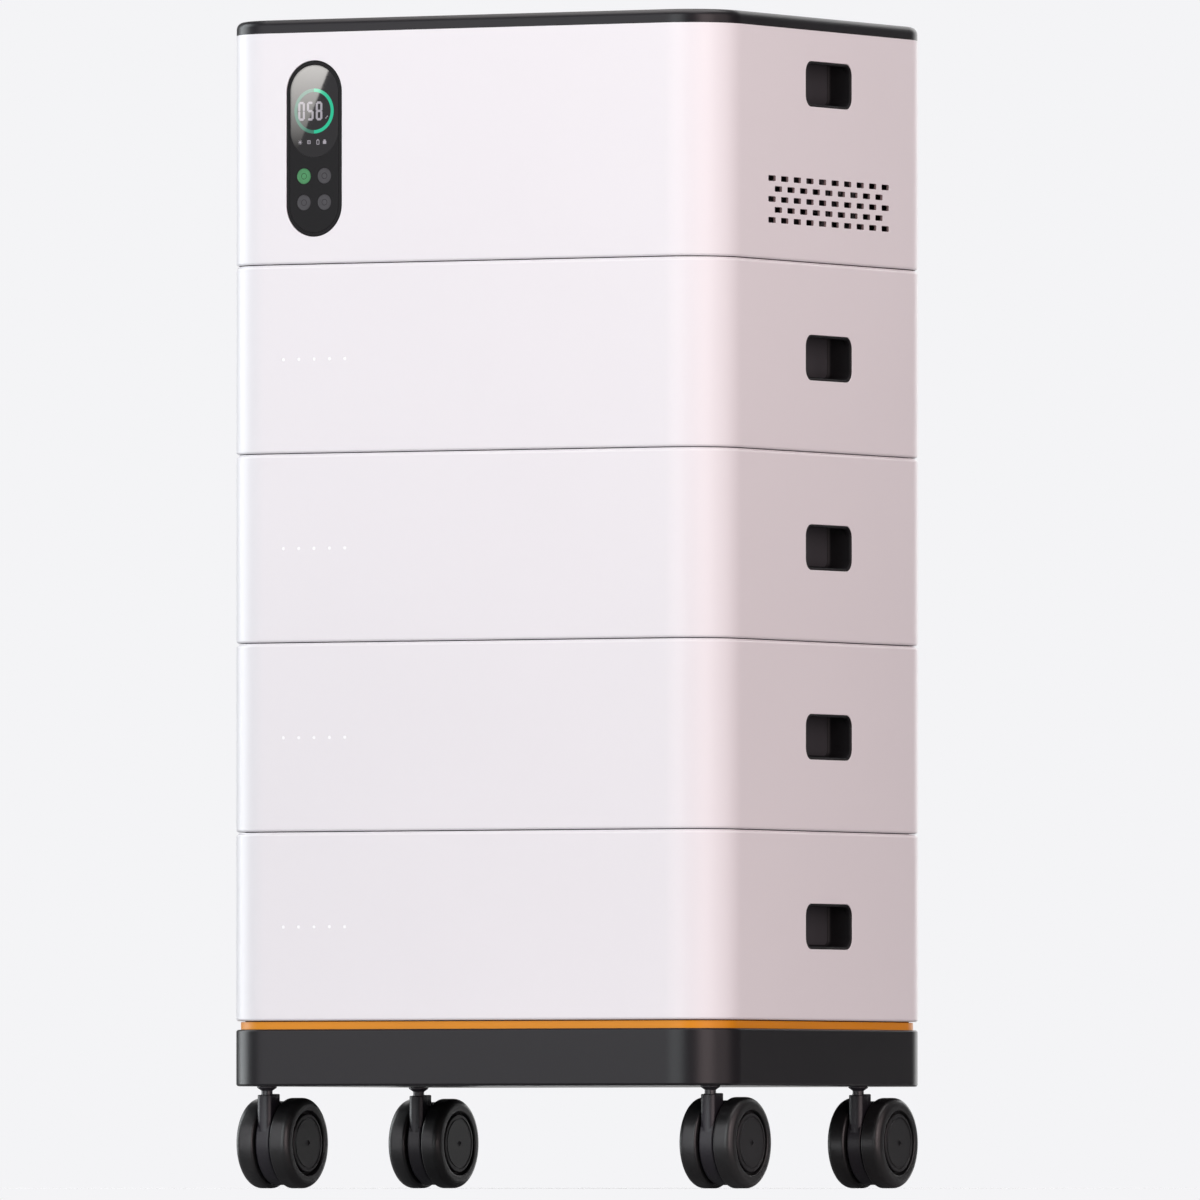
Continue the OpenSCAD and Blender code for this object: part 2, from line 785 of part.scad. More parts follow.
module display_board() color("#1f6b4a") {
    back = front_y + panel_board_y;
    along_y(back, back + board_t) translate([display_x, display_z])
        square([panel_board_w, panel_board_h], center = true);
    along_y(front_y + bezel_t + key_gap, back + 0.1) translate([display_x, screen_z])
        square([screen_block_w, screen_block_h], center = true);
    key_spots() translate([-3, panel_board_y - 2.6, -3]) cube([6, 2.7, 6]);
}

module display_key(k) color(k == 1 ? "#508f5c" : "#4b4a50") at_key(k) {
    cylinder_y(flush_in, bezel_t + 0.5, key_d);
    cylinder_y(bezel_t + key_gap, bezel_t + key_gap + key_lip_t, key_d + 2 * key_lip);
    cylinder_y(bezel_t + key_gap, panel_board_y - 2.6 - key_travel - key_gap, key_stem_d);
}

module heatsink() color("silver") {
    low = head_z + half_gap + wall;
    width = sink_y1 - sink_y0 - fin_t;
    translate([sink_x0, sink_y0, head_z + sink_z]) cube([sink_x1 - sink_x0, sink_y1 - sink_y0, sink_base_t]);
    for (i = [0:fin_n - 1]) {
        foot = i == 0 || i == fin_n - 1 ? low : head_z + fin_low;
        translate([sink_x0, sink_y0 + i * width / (fin_n - 1), foot])
            cube([sink_x1 - sink_x0, fin_t, head_z + sink_z + 1 - foot]);
    }
}

module power_board() color("#1f6b4a") translate([0, 0, head_z + sink_z + sink_base_t]) {
    translate([sink_x0, sink_y0, spacer_h]) cube([sink_x1 - sink_x0, sink_y1 - sink_y0, power_board_t]);
    for (x = [sink_x0 + board_edge, sink_x1 - board_edge], y = [sink_y0 + board_edge, sink_y1 - board_edge])
        translate([x, y, 0]) cylinder(h = spacer_h + 1, d = board_foot_d);
}

// Chokes and capacitors on the power board
module power_parts() translate([0, 0, head_z + sink_z + sink_base_t + spacer_h + power_board_t]) {
    color("#a8622c") for (i = [0:choke_n - 1])
        translate([sink_x0 + choke_in + i * choke_pitch, sink_y1 - choke_in, 0]) difference() {
            cylinder(h = choke_h, d = choke_d);
            translate([0, 0, -1]) cylinder(h = choke_h + 2, d = choke_bore);
        }
    color("#25303f") for (i = [0:can_n - 1])
        translate([sink_x0 + can_in + i * can_pitch, sink_y0 + can_up, 0]) cylinder(h = can_h, d = can_d);
}

module fan_spots() for (i = [0, 1]) at_fan(i) children();

module at_fan(i) translate([half_w - wall - fan_depth, side_shift + (i - 0.5) * fan_pitch, head_z + vent_up])
    children();

module fan_frames() color("#17171a") fan_spots() {
    difference() {
        along_x(0, fan_depth) pad(fan_size, fan_size, 4);
        cylinder_x(-1, fan_depth + 1, fan_bore);
    }
    for (a = [0:90:270]) rotate([a + 45, 0, 0]) translate([0, 0, -2]) cube([3, fan_bore / 2 + 1, 4]);
    cylinder_x(0, 3, 2 * hub_r);
    cylinder_x(2, 18, fan_pin_d);
}

module fan_rotor(i) color("#26262a") at_fan(i - 1) difference() {
    union() {
        cylinder_x(4, 22, 2 * hub_r);
        intersection() {
            for (k = [0:blade_n - 1]) rotate([k * 360 / blade_n, 0, 0]) translate([13, 0, hub_r - 3])
                rotate([0, 0, 40]) translate([-12, -0.8, 0]) cube([24, 1.6, blade_r]);
            cylinder_x(4, 22, 2 * blade_r);
        }
    }
    cylinder_x(3, 19, fan_pin_d + 2 * run_fit);
}

// ---------- connection bay ----------

function gland_x(i) = gland_x0 + i * gland_pitch;

module bay_panel() color("#2b2a2e") difference() {
    union() {
        along_y(bay_y, half_d - flush_in) translate([0, bay_z]) pad(bay_w, bay_h, bay_r);
        along_y(half_d - wall - bay_lip_t, half_d - wall) translate([0, bay_z])
            pad(bay_w + 2 * bay_lip, bay_h + 2 * bay_lip, bay_r + bay_lip);
    }
    along_y(bay_y + bay_t, half_d + 1) translate([0, bay_z])
        pad(bay_w - 2 * bay_t, bay_h - 2 * bay_t, bay_r - bay_t);
    for (i = [0:gland_count - 1]) translate([gland_x(i), bay_y, bay_z])
        cylinder_y(-1, bay_t + 1, gland_d + 2 * fit);
    along_y(bay_y - 1, bay_y + bay_t + 1) translate([breaker_x, bay_z])
        square([breaker_w + 2 * fit, breaker_h + 2 * fit], center = true);
    translate([stud_x, bay_y, bay_z]) cylinder_y(-1, bay_t + 1, stud_d + 2 * fit);
}

// Screwed gland: hex body outside, dome nut, locknut inside, open cable bore
module cable_gland() difference() {
    hex_d = gland_hex / cos(30);
    nut_d = gland_hex - 2;
    union() {
        cylinder_y(-gland_thread, bay_t + 1, gland_d);
        translate([0, -gland_nut_t, 0]) rotate([-90, 0, 0]) cylinder(h = gland_nut_t, d = hex_d, $fn = 6);
        translate([0, bay_t, 0]) rotate([-90, 0, 0]) cylinder(h = gland_hex_t, d = hex_d, $fn = 6);
        cylinder_y(bay_t + gland_hex_t - 1, bay_t + gland_dome, nut_d);
        translate([0, bay_t + gland_dome, 0]) rotate([-90, 0, 0])
            cylinder(h = gland_taper, d1 = nut_d, d2 = gland_bore + gland_lip);
    }
    cylinder_y(-gland_thread - 1, bay_t + gland_dome + gland_taper + 1, gland_bore);
}

module cable_glands() color("#3a3a3f") for (i = [0:gland_count - 1])
    translate([gland_x(i), bay_y, bay_z]) cable_gland();

module lever_spot() translate([breaker_x, breaker_front - lever_r, bay_z]) children();

module breaker_block(y0, y1, w, h) along_y(y0, y1)
    translate([breaker_x, bay_z]) square([w, h], center = true);

module breaker_body() color("#e4e4e6") difference() {
    union() {
        breaker_block(breaker_back, breaker_front - lever_r, breaker_w, breaker_h);
        breaker_block(breaker_back, breaker_front, breaker_w, breaker_h / 2);
        breaker_block(bay_y - bay_lip_t, bay_y, breaker_w + 2 * bay_lip_t, breaker_h + 2 * bay_lip_t);
    }
    lever_spot() {
        cylinder_x(-lever_w / 2 - fit, lever_w / 2 + fit, 2 * lever_r + 2 * fit);
        translate([-lever_w / 2 - fit, 0, -lever_slot / 2])
            cube([lever_w + 2 * fit, lever_r + 1, lever_slot]);
        cylinder_x(-breaker_w / 2 - 1, breaker_w / 2 + 1, lever_pin_d + 2 * run_fit);
    }
}

module breaker_lever() color("#2a2a2e") lever_spot() {
    cylinder_x(-lever_w / 2, lever_w / 2, 2 * lever_r);
    cylinder_x(-breaker_w / 2, breaker_w / 2, lever_pin_d);
    rotate([lever_tilt, 0, 0]) translate([-lever_w / 2 + lever_side, 0, -lever_t / 2])
        cube([lever_w - 2 * lever_side, lever_reach, lever_t]);
}

module earth_stud() color("#c9a24a") translate([stud_x, bay_y, bay_z]) {
    cylinder_y(-8, bay_t + 6.5 + stud_free, stud_d);
    translate([0, -6, 0]) rotate([-90, 0, 0]) cylinder(h = 6, d = 13 / cos(30), $fn = 6);
    translate([0, bay_t, 0]) rotate([-90, 0, 0]) cylinder(h = 6.5, d = 13 / cos(30), $fn = 6);
}

// ---------- drawing ----------

base_tray();
base_frame();
base_deck();
accent_band();
caster_plates();
plate_screws();
caster_stems();
for (c = [0:3]) {
    caster_body(c);
    axle(c);
    for (s = [0, 1]) wheel(c, s);
}
for (n = [1:module_count]) module_case(n);
module_lids();
battery_cells();
cell_busbars();
battery_boards();
link_sockets();
link_plugs();
stack_pins();
seam_seals();
status_lights();
tie_plates();
tie_screws();
grip_cups();
head_case();
top_cap();
display_bezel();
display_glass();
display_board();
for (k = [1:4]) display_key(k);
heatsink();
power_board();
power_parts();
fan_frames();
for (i = [1, 2]) fan_rotor(i);
bay_panel();
cable_glands();
breaker_body();
breaker_lever();
earth_stud();
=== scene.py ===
import math

import bmesh
import bpy
from mathutils import Matrix, Vector


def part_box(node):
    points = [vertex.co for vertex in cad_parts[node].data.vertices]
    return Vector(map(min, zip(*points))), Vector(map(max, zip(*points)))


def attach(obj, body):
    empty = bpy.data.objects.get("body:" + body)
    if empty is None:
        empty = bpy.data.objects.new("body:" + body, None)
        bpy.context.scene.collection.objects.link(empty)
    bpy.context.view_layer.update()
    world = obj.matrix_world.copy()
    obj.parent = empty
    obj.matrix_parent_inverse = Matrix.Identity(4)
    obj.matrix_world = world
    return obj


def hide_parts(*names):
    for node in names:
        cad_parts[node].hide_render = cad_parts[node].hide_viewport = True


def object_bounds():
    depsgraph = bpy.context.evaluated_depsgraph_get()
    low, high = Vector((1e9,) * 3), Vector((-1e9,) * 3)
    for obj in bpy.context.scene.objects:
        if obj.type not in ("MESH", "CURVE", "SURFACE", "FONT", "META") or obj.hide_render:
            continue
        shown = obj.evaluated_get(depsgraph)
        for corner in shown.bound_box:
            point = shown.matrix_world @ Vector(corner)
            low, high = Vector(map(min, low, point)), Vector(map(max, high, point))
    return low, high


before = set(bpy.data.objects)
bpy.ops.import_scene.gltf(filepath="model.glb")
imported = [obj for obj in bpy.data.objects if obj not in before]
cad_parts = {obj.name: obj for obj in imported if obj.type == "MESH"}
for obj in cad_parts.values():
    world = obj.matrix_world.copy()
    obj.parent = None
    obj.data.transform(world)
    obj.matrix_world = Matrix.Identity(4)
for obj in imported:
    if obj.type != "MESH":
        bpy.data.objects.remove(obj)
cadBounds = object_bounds()


# the camera, made first of all

cameraView = {
    "azimuth": 28.676,     # degrees to the right of straight on
    "standAzimuth": 28.733,
    "distance": 23.684,
    "height": 0.0124,
    "tiltUp": 1.481,
    "lens": 669.1,
    "sensor": 36.0,
}


def placeCamera(view):
    data = bpy.data.cameras.new("productCamera")
    data.lens = view["lens"]
    data.sensor_width = view["sensor"]
    data.clip_end = 200
    camera = bpy.data.objects.new("productCamera", data)
    bpy.context.scene.collection.objects.link(camera)
    stand = math.radians(view["standAzimuth"])
    camera.location = (math.sin(stand) * view["distance"], -math.cos(stand) * view["distance"],
                       view["height"])
    camera.rotation_euler = (math.radians(90 + view["tiltUp"]), 0, math.radians(view["azimuth"]))
    bpy.context.scene.camera = camera


placeCamera(cameraView)
print("camera placed")


# small modelling tools

def focus(piece=None):
    if bpy.context.object and bpy.context.object.mode != "OBJECT":
        bpy.ops.object.mode_set(mode="OBJECT")
    bpy.ops.object.select_all(action="DESELECT")
    if piece:
        piece.select_set(True)
        bpy.context.view_layer.objects.active = piece


def settle(name):
    # the new primitive takes its name, and its place goes into its mesh
    piece = bpy.context.object
    piece.name = name
    bpy.ops.object.transform_apply(location=True, rotation=True, scale=True)
    return piece


def startBlock(name, low, high):
    low, high = Vector(low), Vector(high)
    focus()
    bpy.ops.mesh.primitive_cube_add(size=1, location=(low + high) / 2, scale=high - low)
    return settle(name)


turnToAxis = {"x": (0, math.pi / 2, 0), "y": (-math.pi / 2, 0, 0), "z": (0, 0, 0)}


def startRound(name, axis, centre, start, end, radius, sides=96, endRadius=None):
    # a cylinder or cone along one axis, from start to end
    place = Vector(centre)
    place["xyz".index(axis)] = (start + end) / 2
    focus()
    if endRadius is None:
        bpy.ops.mesh.primitive_cylinder_add(vertices=sides, radius=radius, depth=end - start,
                                            location=place, rotation=turnToAxis[axis])
    else:
        bpy.ops.mesh.primitive_cone_add(vertices=sides, radius1=radius, radius2=endRadius, depth=end - start,
                                        location=place, rotation=turnToAxis[axis])
    return settle(name)


def pick(piece, kind, test):
    # selects faces by test(centre, normal) or edges by test(end, otherEnd), in edit mode
    focus(piece)
    bpy.ops.object.mode_set(mode="EDIT")
    bpy.ops.mesh.select_mode(type=kind)
    bpy.ops.mesh.select_all(action="DESELECT")
    shape = bmesh.from_edit_mesh(piece.data)
    if kind == "FACE":
        chosen = [face for face in shape.faces if test(face.calc_center_median(), face.normal)]
    else:
        chosen = [edge for edge in shape.edges if test(edge.verts[0].co, edge.verts[1].co)]
    for part in chosen:
        part.select_set(True)
    bmesh.update_edit_mesh(piece.data)
    return len(chosen)


def roundEdges(piece, test, radius, segments=4):
    if pick(piece, "EDGE", test):
        bpy.ops.mesh.bevel(offset=radius, segments=segments, affect="EDGES", clamp_overlap=False)
    focus(piece)


def atLevel(axis, level):
    # edges whose two ends lie at one place along an axis
    index = "xyz".index(axis)
    return lambda end, otherEnd: all(abs(spot[index] - level) < 1e-5 for spot in (end, otherEnd))


def insetAndPush(piece, test, thickness, push=None):
    # insets the chosen face, then draws what it leaves along the vector push
    pick(piece, "FACE", test)
    bpy.ops.mesh.inset(thickness=thickness)
    if push:
        bpy.ops.mesh.extrude_region_move(TRANSFORM_OT_translate={"value": tuple(push)})
    focus(piece)


def slantedStep(piece, test, thickness, push):
    # insets the chosen face and moves it, which leaves a slope round it
    pick(piece, "FACE", test)
    bpy.ops.mesh.inset(thickness=thickness)
    bpy.ops.transform.translate(value=tuple(push))
    focus(piece)


def along(axis):
    index = "xyz".index(axis)

    def test(end, otherEnd):
        run = otherEnd - end
        return abs(run[index]) > 0.99 * run.length
    return test


def roundedBlock(name, low, high, axis, radius, segments=8):
    # a block with its four edges along one axis rounded
    piece = startBlock(name, low, high)
    roundEdges(piece, along(axis), radius, segments)
    return piece


def runModifier(piece, kind, **settings):
    modifier = piece.modifiers.new(kind.lower(), kind)
    for key, value in settings.items():
        setattr(modifier, key, value)
    focus(piece)
    bpy.ops.object.modifier_apply(modifier=modifier.name)


def combine(piece, operation, *others):
    for other in others:
        runModifier(piece, "BOOLEAN", operation=operation, solver="EXACT", object=other)
        bpy.data.objects.remove(other)
    return piece


def softenEdges(piece, width, segments=3, angle=40):
    runModifier(piece, "BEVEL", width=width, segments=segments, limit_method="ANGLE",
                angle_limit=math.radians(angle), harden_normals=False, use_clamp_overlap=True)
    return piece


def shadeClean(piece, angle=32):
    focus(piece)
    bpy.ops.object.shade_smooth_by_angle(angle=math.radians(angle))
    runModifier(piece, "WEIGHTED_NORMAL", keep_sharp=True, weight=50)
    return piece


def copyAt(piece, name, move=(0, 0, 0), mirrorAxis=None):
    double = piece.copy()
    double.data = piece.data.copy()
    double.name = name
    bpy.context.scene.collection.objects.link(double)
    if mirrorAxis is not None:
        flip = Vector((1, 1, 1))
        flip[mirrorAxis] = -1
        double.data.transform(Matrix.Diagonal(flip.to_4d()))
        double.data.flip_normals()
    double.data.transform(Matrix.Translation(Vector(move)))
    double.data.update()
    return double


def joinAll(name, pieces):
    focus(pieces[0])
    for piece in pieces:
        piece.select_set(True)
    bpy.ops.object.join()
    pieces[0].name = name
    return pieces[0]


def joinCopies(name, piece, moves):
    # the piece itself ends at the first place, and its copies at the others
    copies = [copyAt(piece, f"{name}.copy", move) for move in moves[1:]]
    piece.data.transform(Matrix.Translation(Vector(moves[0])))
    return joinAll(name, [piece] + copies)


def softenedCopy(name, node, width, segments=2):
    # a CAD node's shape with its loose triangles joined up and its edges eased
    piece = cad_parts[node].copy()
    piece.data = piece.data.copy()
    piece.name = name
    piece.parent = None
    for key in [key for key in piece.keys() if key.startswith("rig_")]:
        del piece[key]
    bpy.context.scene.collection.objects.link(piece)
    focus(piece)
    bpy.ops.object.mode_set(mode="EDIT")
    bpy.ops.mesh.select_all(action="SELECT")
    bpy.ops.mesh.remove_doubles(threshold=0.000005)
    bpy.ops.mesh.dissolve_limited(angle_limit=math.radians(1))
    bpy.ops.object.mode_set(mode="OBJECT")
    softenEdges(piece, width, segments)
    return piece


def outfit(piece, body, slotName, *nodes, finish=None):
    # the finish, the body it moves with, the slot name whose finish it takes unless finish names another,
    # and the CAD nodes it stands for
    piece.data.materials.clear()
    piece.data.materials.append(finishes[finish or slotName])
    for polygon in piece.data.polygons:
        polygon.material_index = 0
    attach(piece, body)
    if nodes:
        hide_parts(*nodes)
    return piece


# shader maths

class Signal:
    # one value or colour of a material, with operators that add Math nodes
    def __init__(self, tree, socket=None):
        self.tree = tree
        self.socket = socket

    def node(self, kind, settings=None, feeds=None, output=0):
        made = self.tree.nodes.new(kind)
        for key, value in (settings or {}).items():
            if key == "stops":
                setStops(made.color_ramp, value)
            else:
                setattr(made, key, value)
        for key, value in (feeds or {}).items():
            if isinstance(value, Signal):
                self.tree.links.new(value.socket, made.inputs[key])
            else:
                made.inputs[key].default_value = value
        return Signal(self.tree, made.outputs[output] if made.outputs else None)

    def maths(self, operation, *values):
        return self.node("ShaderNodeMath", {"operation": operation}, dict(enumerate(values)))

    def __add__(self, other):
        return self.maths("ADD", self, other)

    def __radd__(self, other):
        return self.maths("ADD", other, self)

    def __sub__(self, other):
        return self.maths("SUBTRACT", self, other)

    def __rsub__(self, other):
        return self.maths("SUBTRACT", other, self)

    def __mul__(self, other):
        return self.maths("MULTIPLY", self, other)

    def __rmul__(self, other):
        return self.maths("MULTIPLY", other, self)


def setStops(ramp, stops):
    while len(ramp.elements) < len(stops):
        ramp.elements.new(0.5)
    for element, (place, value) in zip(ramp.elements, stops):
        element.position = place
        element.color = value if len(value) == 4 else (*value, 1)


def startFinish(name):
    material = bpy.data.materials.new(name)
    material.use_nodes = True
    material.node_tree.nodes.clear()
    return material, Signal(material.node_tree)


def shade(colour):
    # a colour given as on a screen, from 0 to 255, made linear
    parts = [value / 255 for value in colour]
    return tuple(p / 12.92 if p <= 0.04045 else ((p + 0.055) / 1.055) ** 2.4 for p in parts) + (1.0,)


def scaled(colour, factor):
    return tuple(min(1.0, part * factor) for part in colour[:3]) + (1.0,)


def whereOn(finish, centre=(0, 0, 0), stretch=(1, 1, 1), turn=(0, 0, 0)):
    spot = finish.node("ShaderNodeTexCoord", output="Object")
    moved = finish.node("ShaderNodeVectorMath", {"operation": "SUBTRACT"}, {0: spot, 1: centre})
    return finish.node("ShaderNodeMapping", None, {"Vector": moved, "Scale": stretch, "Rotation": turn})


def noise(finish, spot, scale, detail=2.0, roughness=0.5):
    return finish.node("ShaderNodeTexNoise", None,
                       {"Vector": spot, "Scale": scale, "Detail": detail, "Roughness": roughness})


def blend(finish, mask, first, second, mode="MIX"):
    return finish.node("ShaderNodeMix", {"data_type": "RGBA", "blend_type": mode},
                       {0: mask, 6: first, 7: second}, output=2)


def within(finish, value, low, high, toLow=0.0, toHigh=1.0):
    return finish.node("ShaderNodeMapRange", {"clamp": True},
                       {"Value": value, "From Min": low, "From Max": high, "To Min": toLow,
                        "To Max": toHigh})


def bump(finish, height, strength, distance):
    return finish.node("ShaderNodeBump", None,
                       {"Strength": strength, "Distance": distance, "Height": height})


def wornEdges(finish, radius, spot, scale):
    # near 1 on corners and rims, broken up by noise
    rounded = finish.node("ShaderNodeBevel", {"samples": 4}, {"Radius": radius})
    plain = finish.node("ShaderNodeNewGeometry", output="Normal")
    facing = finish.node("ShaderNodeVectorMath", {"operation": "DOT_PRODUCT"}, {0: rounded, 1: plain},
                         output="Value")
    edge = within(finish, 1 - facing, 0.01, 0.16)
    return edge * within(finish, noise(finish, spot, scale, 3), 0.42, 0.62)


surfaceSockets = {
    "colour": "Base Color", "metal": "Metallic", "roughness": "Roughness", "normal": "Normal",
    "coat": "Coat Weight", "coatRoughness": "Coat Roughness", "specular": "Specular IOR Level",
    "glow": "Emission Color", "glowStrength": "Emission Strength",
}


def closeFinish(finish, **feeds):
    # constants and links go straight to the shader's own sockets
    values = {surfaceSockets[key]: value for key, value in feeds.items()}
    surface = finish.node("ShaderNodeBsdfPrincipled", None, values)
    finish.node("ShaderNodeOutputMaterial", None, {"Surface": surface})


def powderCoat(name, look):
    # sprayed and baked paint: faint clouds in the film, a fine orange peel, rims a little bare
    material, finish = startFinish(name)
    spot = whereOn(finish)
    clouds = noise(finish, spot, look["cloudScale"], 3)
    peel = noise(finish, spot, look["peelScale"], 2)
    dust = noise(finish, spot, look["dustScale"], 4, 0.7)
    colour = blend(finish, within(finish, clouds, 0.3, 0.7), scaled(look["colour"], 1 - look["spread"]),
                   scaled(look["colour"], 1 + look["spread"]))
    colour = blend(finish, within(finish, dust, 0.6, 0.8) * look["dust"], colour, look["dustColour"])
    colour = blend(finish, wornEdges(finish, look["edgeRadius"], spot, 60) * look["edgeWear"], colour,
                   look["edgeColour"])
    roughness = look["roughness"] + (clouds - 0.5) * look["roughnessSpread"]
    closeFinish(finish, colour=colour, roughness=roughness, specular=look["specular"], coat=look["coat"],
                coatRoughness=look["coatRoughness"],
                normal=bump(finish, peel, look["peel"], look["peelDepth"]))
    return material


def mouldedPlastic(name, look):
    # spark-eroded grain, a slight flow pattern, and rims rubbed shinier and paler
    material, finish = startFinish(name)
    spot = whereOn(finish)
    flow = noise(finish, whereOn(finish, stretch=(1, 1, 0.35)), look["flowScale"], 2)
    grain = finish.node("ShaderNodeTexVoronoi", {"feature": "SMOOTH_F1"},
                        {"Vector": spot, "Scale": look["grainScale"], "Smoothness": 0.6})
    edge = wornEdges(finish, look["edgeRadius"], spot, 90)
    colour = blend(finish, within(finish, flow, 0.3, 0.7), scaled(look["colour"], 0.88),
                   scaled(look["colour"], 1.12))
    colour = blend(finish, edge * look["edgeWear"], colour, scaled(look["colour"], look["edgeLift"]))
    roughness = look["roughness"] + (flow - 0.5) * 0.14 - edge * 0.1
    closeFinish(finish, colour=colour, roughness=roughness, specular=look["specular"], coat=look["coat"],
                coatRoughness=look["coatRoughness"], normal=bump(finish, grain, look["grain"], 0.0003))
    return material


def workedMetal(name, look):
    # drawn, turned or plated metal: fine lines one way and faint stains
    material, finish = startFinish(name)
    spot = whereOn(finish)
    lines = noise(finish, whereOn(finish, stretch=look["lineStretch"]), look["lineScale"], 3, 0.6)
    stains = noise(finish, spot, look["stainScale"], 4, 0.6)
    colour = blend(finish, within(finish, stains, 0.35, 0.7), look["colour"],
                   scaled(look["colour"], look["stain"]))
    colour = blend(finish, within(finish, lines, 0.3, 0.7) * 0.35, colour, scaled(look["colour"], 1.15))
    roughness = look["roughness"] + (lines - 0.5) * 0.2 + (stains - 0.5) * 0.16
    closeFinish(finish, colour=colour, metal=look["metal"], roughness=roughness, specular=0.5,
                normal=bump(finish, lines, look["lineDepth"], 0.0002))
    return material


def softRubber(name, look):
    # moulded rubber or polyurethane: fine speckle and scuffs
    material, finish = startFinish(name)
    spot = whereOn(finish)
    scuffs = noise(finish, whereOn(finish, stretch=(1, 1, 2.4)), look["scuffScale"], 5, 0.65)
    speckle = noise(finish, spot, look["speckleScale"], 2)
    colour = blend(finish, within(finish, scuffs, 0.5, 0.75) * look["scuff"], look["colour"],
                   look["scuffColour"])
    roughness = look["roughness"] + within(finish, scuffs, 0.35, 0.75) * 0.16
    closeFinish(finish, colour=colour, roughness=roughness, specular=look["specular"], coat=look["coat"],
                coatRoughness=look["coatRoughness"],
                normal=bump(finish, speckle + scuffs * 0.5, 0.12, 0.0003))
    return material


def circuitBoard(name, look):
    # green mask over copper runs, with pale legend dots
    material, finish = startFinish(name)
    spot = whereOn(finish, turn=(0.6, 0.4, 0.8))
    runs = finish.node("ShaderNodeTexBrick", {"offset": 0.37},
                       {"Vector": spot, "Scale": look["runScale"], "Mortar Size": 0.035,
                        "Mortar Smooth": 0.2,
                        "Color1": scaled(look["colour"], 0.85), "Color2": scaled(look["colour"], 1.1),
                        "Mortar": look["runColour"]})
    dots = finish.node("ShaderNodeTexVoronoi", None, {"Vector": whereOn(finish), "Scale": look["dotScale"]})
    pads = within(finish, dots, 0.16, 0.2, 1, 0)
    colour = blend(finish, pads, runs, look["padColour"])
    roughness = 0.42 - pads * 0.15
    closeFinish(finish, colour=colour, metal=pads * 0.8, roughness=roughness, specular=0.5,
                normal=bump(finish, pads, 0.2, 0.0003))
    return material


def cellFilm(name, look):
    # shrink film on a prismatic cell: pulled creases and a glossy skin
    material, finish = startFinish(name)
    creases = noise(finish, whereOn(finish, stretch=(1, 1, 0.2)), look["creaseScale"], 4, 0.6)
    tone = noise(finish, whereOn(finish), 9, 2)
    colour = blend(finish, within(finish, tone, 0.3, 0.7), scaled(look["colour"], 0.8),
                   scaled(look["colour"], 1.15))
    closeFinish(finish, colour=colour, roughness=0.3 + (creases - 0.5) * 0.2, specular=0.5, coat=0.4,
                coatRoughness=0.12, normal=bump(finish, creases, 0.25, 0.0006))
    return material


def woundWire(name, look):
    # turns of enamelled wire, side by side round a ring, with painted shade in the grooves between them
    material, finish = startFinish(name)
    spot = whereOn(finish)
    turns = finish.node("ShaderNodeTexWave", {"wave_type": "BANDS", "bands_direction": "DIAGONAL"},
                        {"Vector": spot, "Scale": look["turnScale"], "Distortion": 0.4})
    tone = noise(finish, spot, 40, 3)
    colour = blend(finish, turns, scaled(look["colour"], 0.35), look["colour"])
    colour = blend(finish, tone, colour, scaled(look["colour"], 0.7), "MULTIPLY")
    closeFinish(finish, colour=colour, metal=0.75, roughness=0.3 + (1 - turns) * 0.2, coat=0.5,
                coatRoughness=0.15, normal=bump(finish, turns, 0.6, 0.0008))
    return material


def clearPlastic(name, look):
    # a light pipe: milky, with a soft skin
    material, finish = startFinish(name)
    milk = noise(finish, whereOn(finish), 600, 2)
    colour = blend(finish, milk, scaled(look["colour"], 0.94), look["colour"])
    closeFinish(finish, colour=colour, roughness=0.22 + milk * 0.08, coat=0.6, coatRoughness=0.06,
                glow=colour, glowStrength=look["glow"], normal=bump(finish, milk, 0.05, 0.0001))
    return material


def darkGlass(name, look):
    # smoked glass over an unlit screen, with a faint uneven tone and a few specks of dust
    material, finish = startFinish(name)
    spot = whereOn(finish)
    dust = noise(finish, spot, 2600, 3, 0.7)
    cells = noise(finish, spot, 30, 2)
    colour = blend(finish, within(finish, cells, 0.35, 0.65), scaled(look["colour"], 0.92),
                   scaled(look["colour"], 1.1))
    colour = blend(finish, within(finish, dust, 0.72, 0.8) * 0.25, colour, shade((120, 120, 124)))
    closeFinish(finish, colour=colour, roughness=look["roughness"] + within(finish, dust, 0.7, 0.8) * 0.2,
                specular=look["specular"], coat=look["coat"], coatRoughness=look["coatRoughness"])
    return material


def litKey(name, look):
    # round keys lit from behind, each brightest in its middle
    # the four lie in a square, so one quarter serves all
    material, finish = startFinish(name)
    spot = whereOn(finish)
    middle, aside, up = look["square"]
    folded = finish.node("ShaderNodeVectorMath", {"operation": "ABSOLUTE"}, {0: whereOn(finish, middle)})
    flat = finish.node("ShaderNodeVectorMath", {"operation": "MULTIPLY"}, {0: folded, 1: (1, 0, 1)})
    off = finish.node("ShaderNodeVectorMath", {"operation": "DISTANCE"}, {0: flat, 1: (aside, 0, up)},
                      output="Value")
    lit = within(finish, off, 0.0, 0.0088, 1.0, look["rimLight"])
    grain = noise(finish, spot, 1800, 2)
    clouds = noise(finish, spot, 140, 3)
    colour = blend(finish, within(finish, clouds, 0.3, 0.7), scaled(look["colour"], 0.85),
                   scaled(look["colour"], 1.1))
    closeFinish(finish, colour=colour, roughness=look["roughness"] + (clouds - 0.5) * 0.1, specular=0.4,
                coat=look["coat"], coatRoughness=0.25, glow=blend(finish, lit, (0, 0, 0, 1), colour),
                glowStrength=look["glow"], normal=bump(finish, grain, 0.1, 0.0002))
    return material


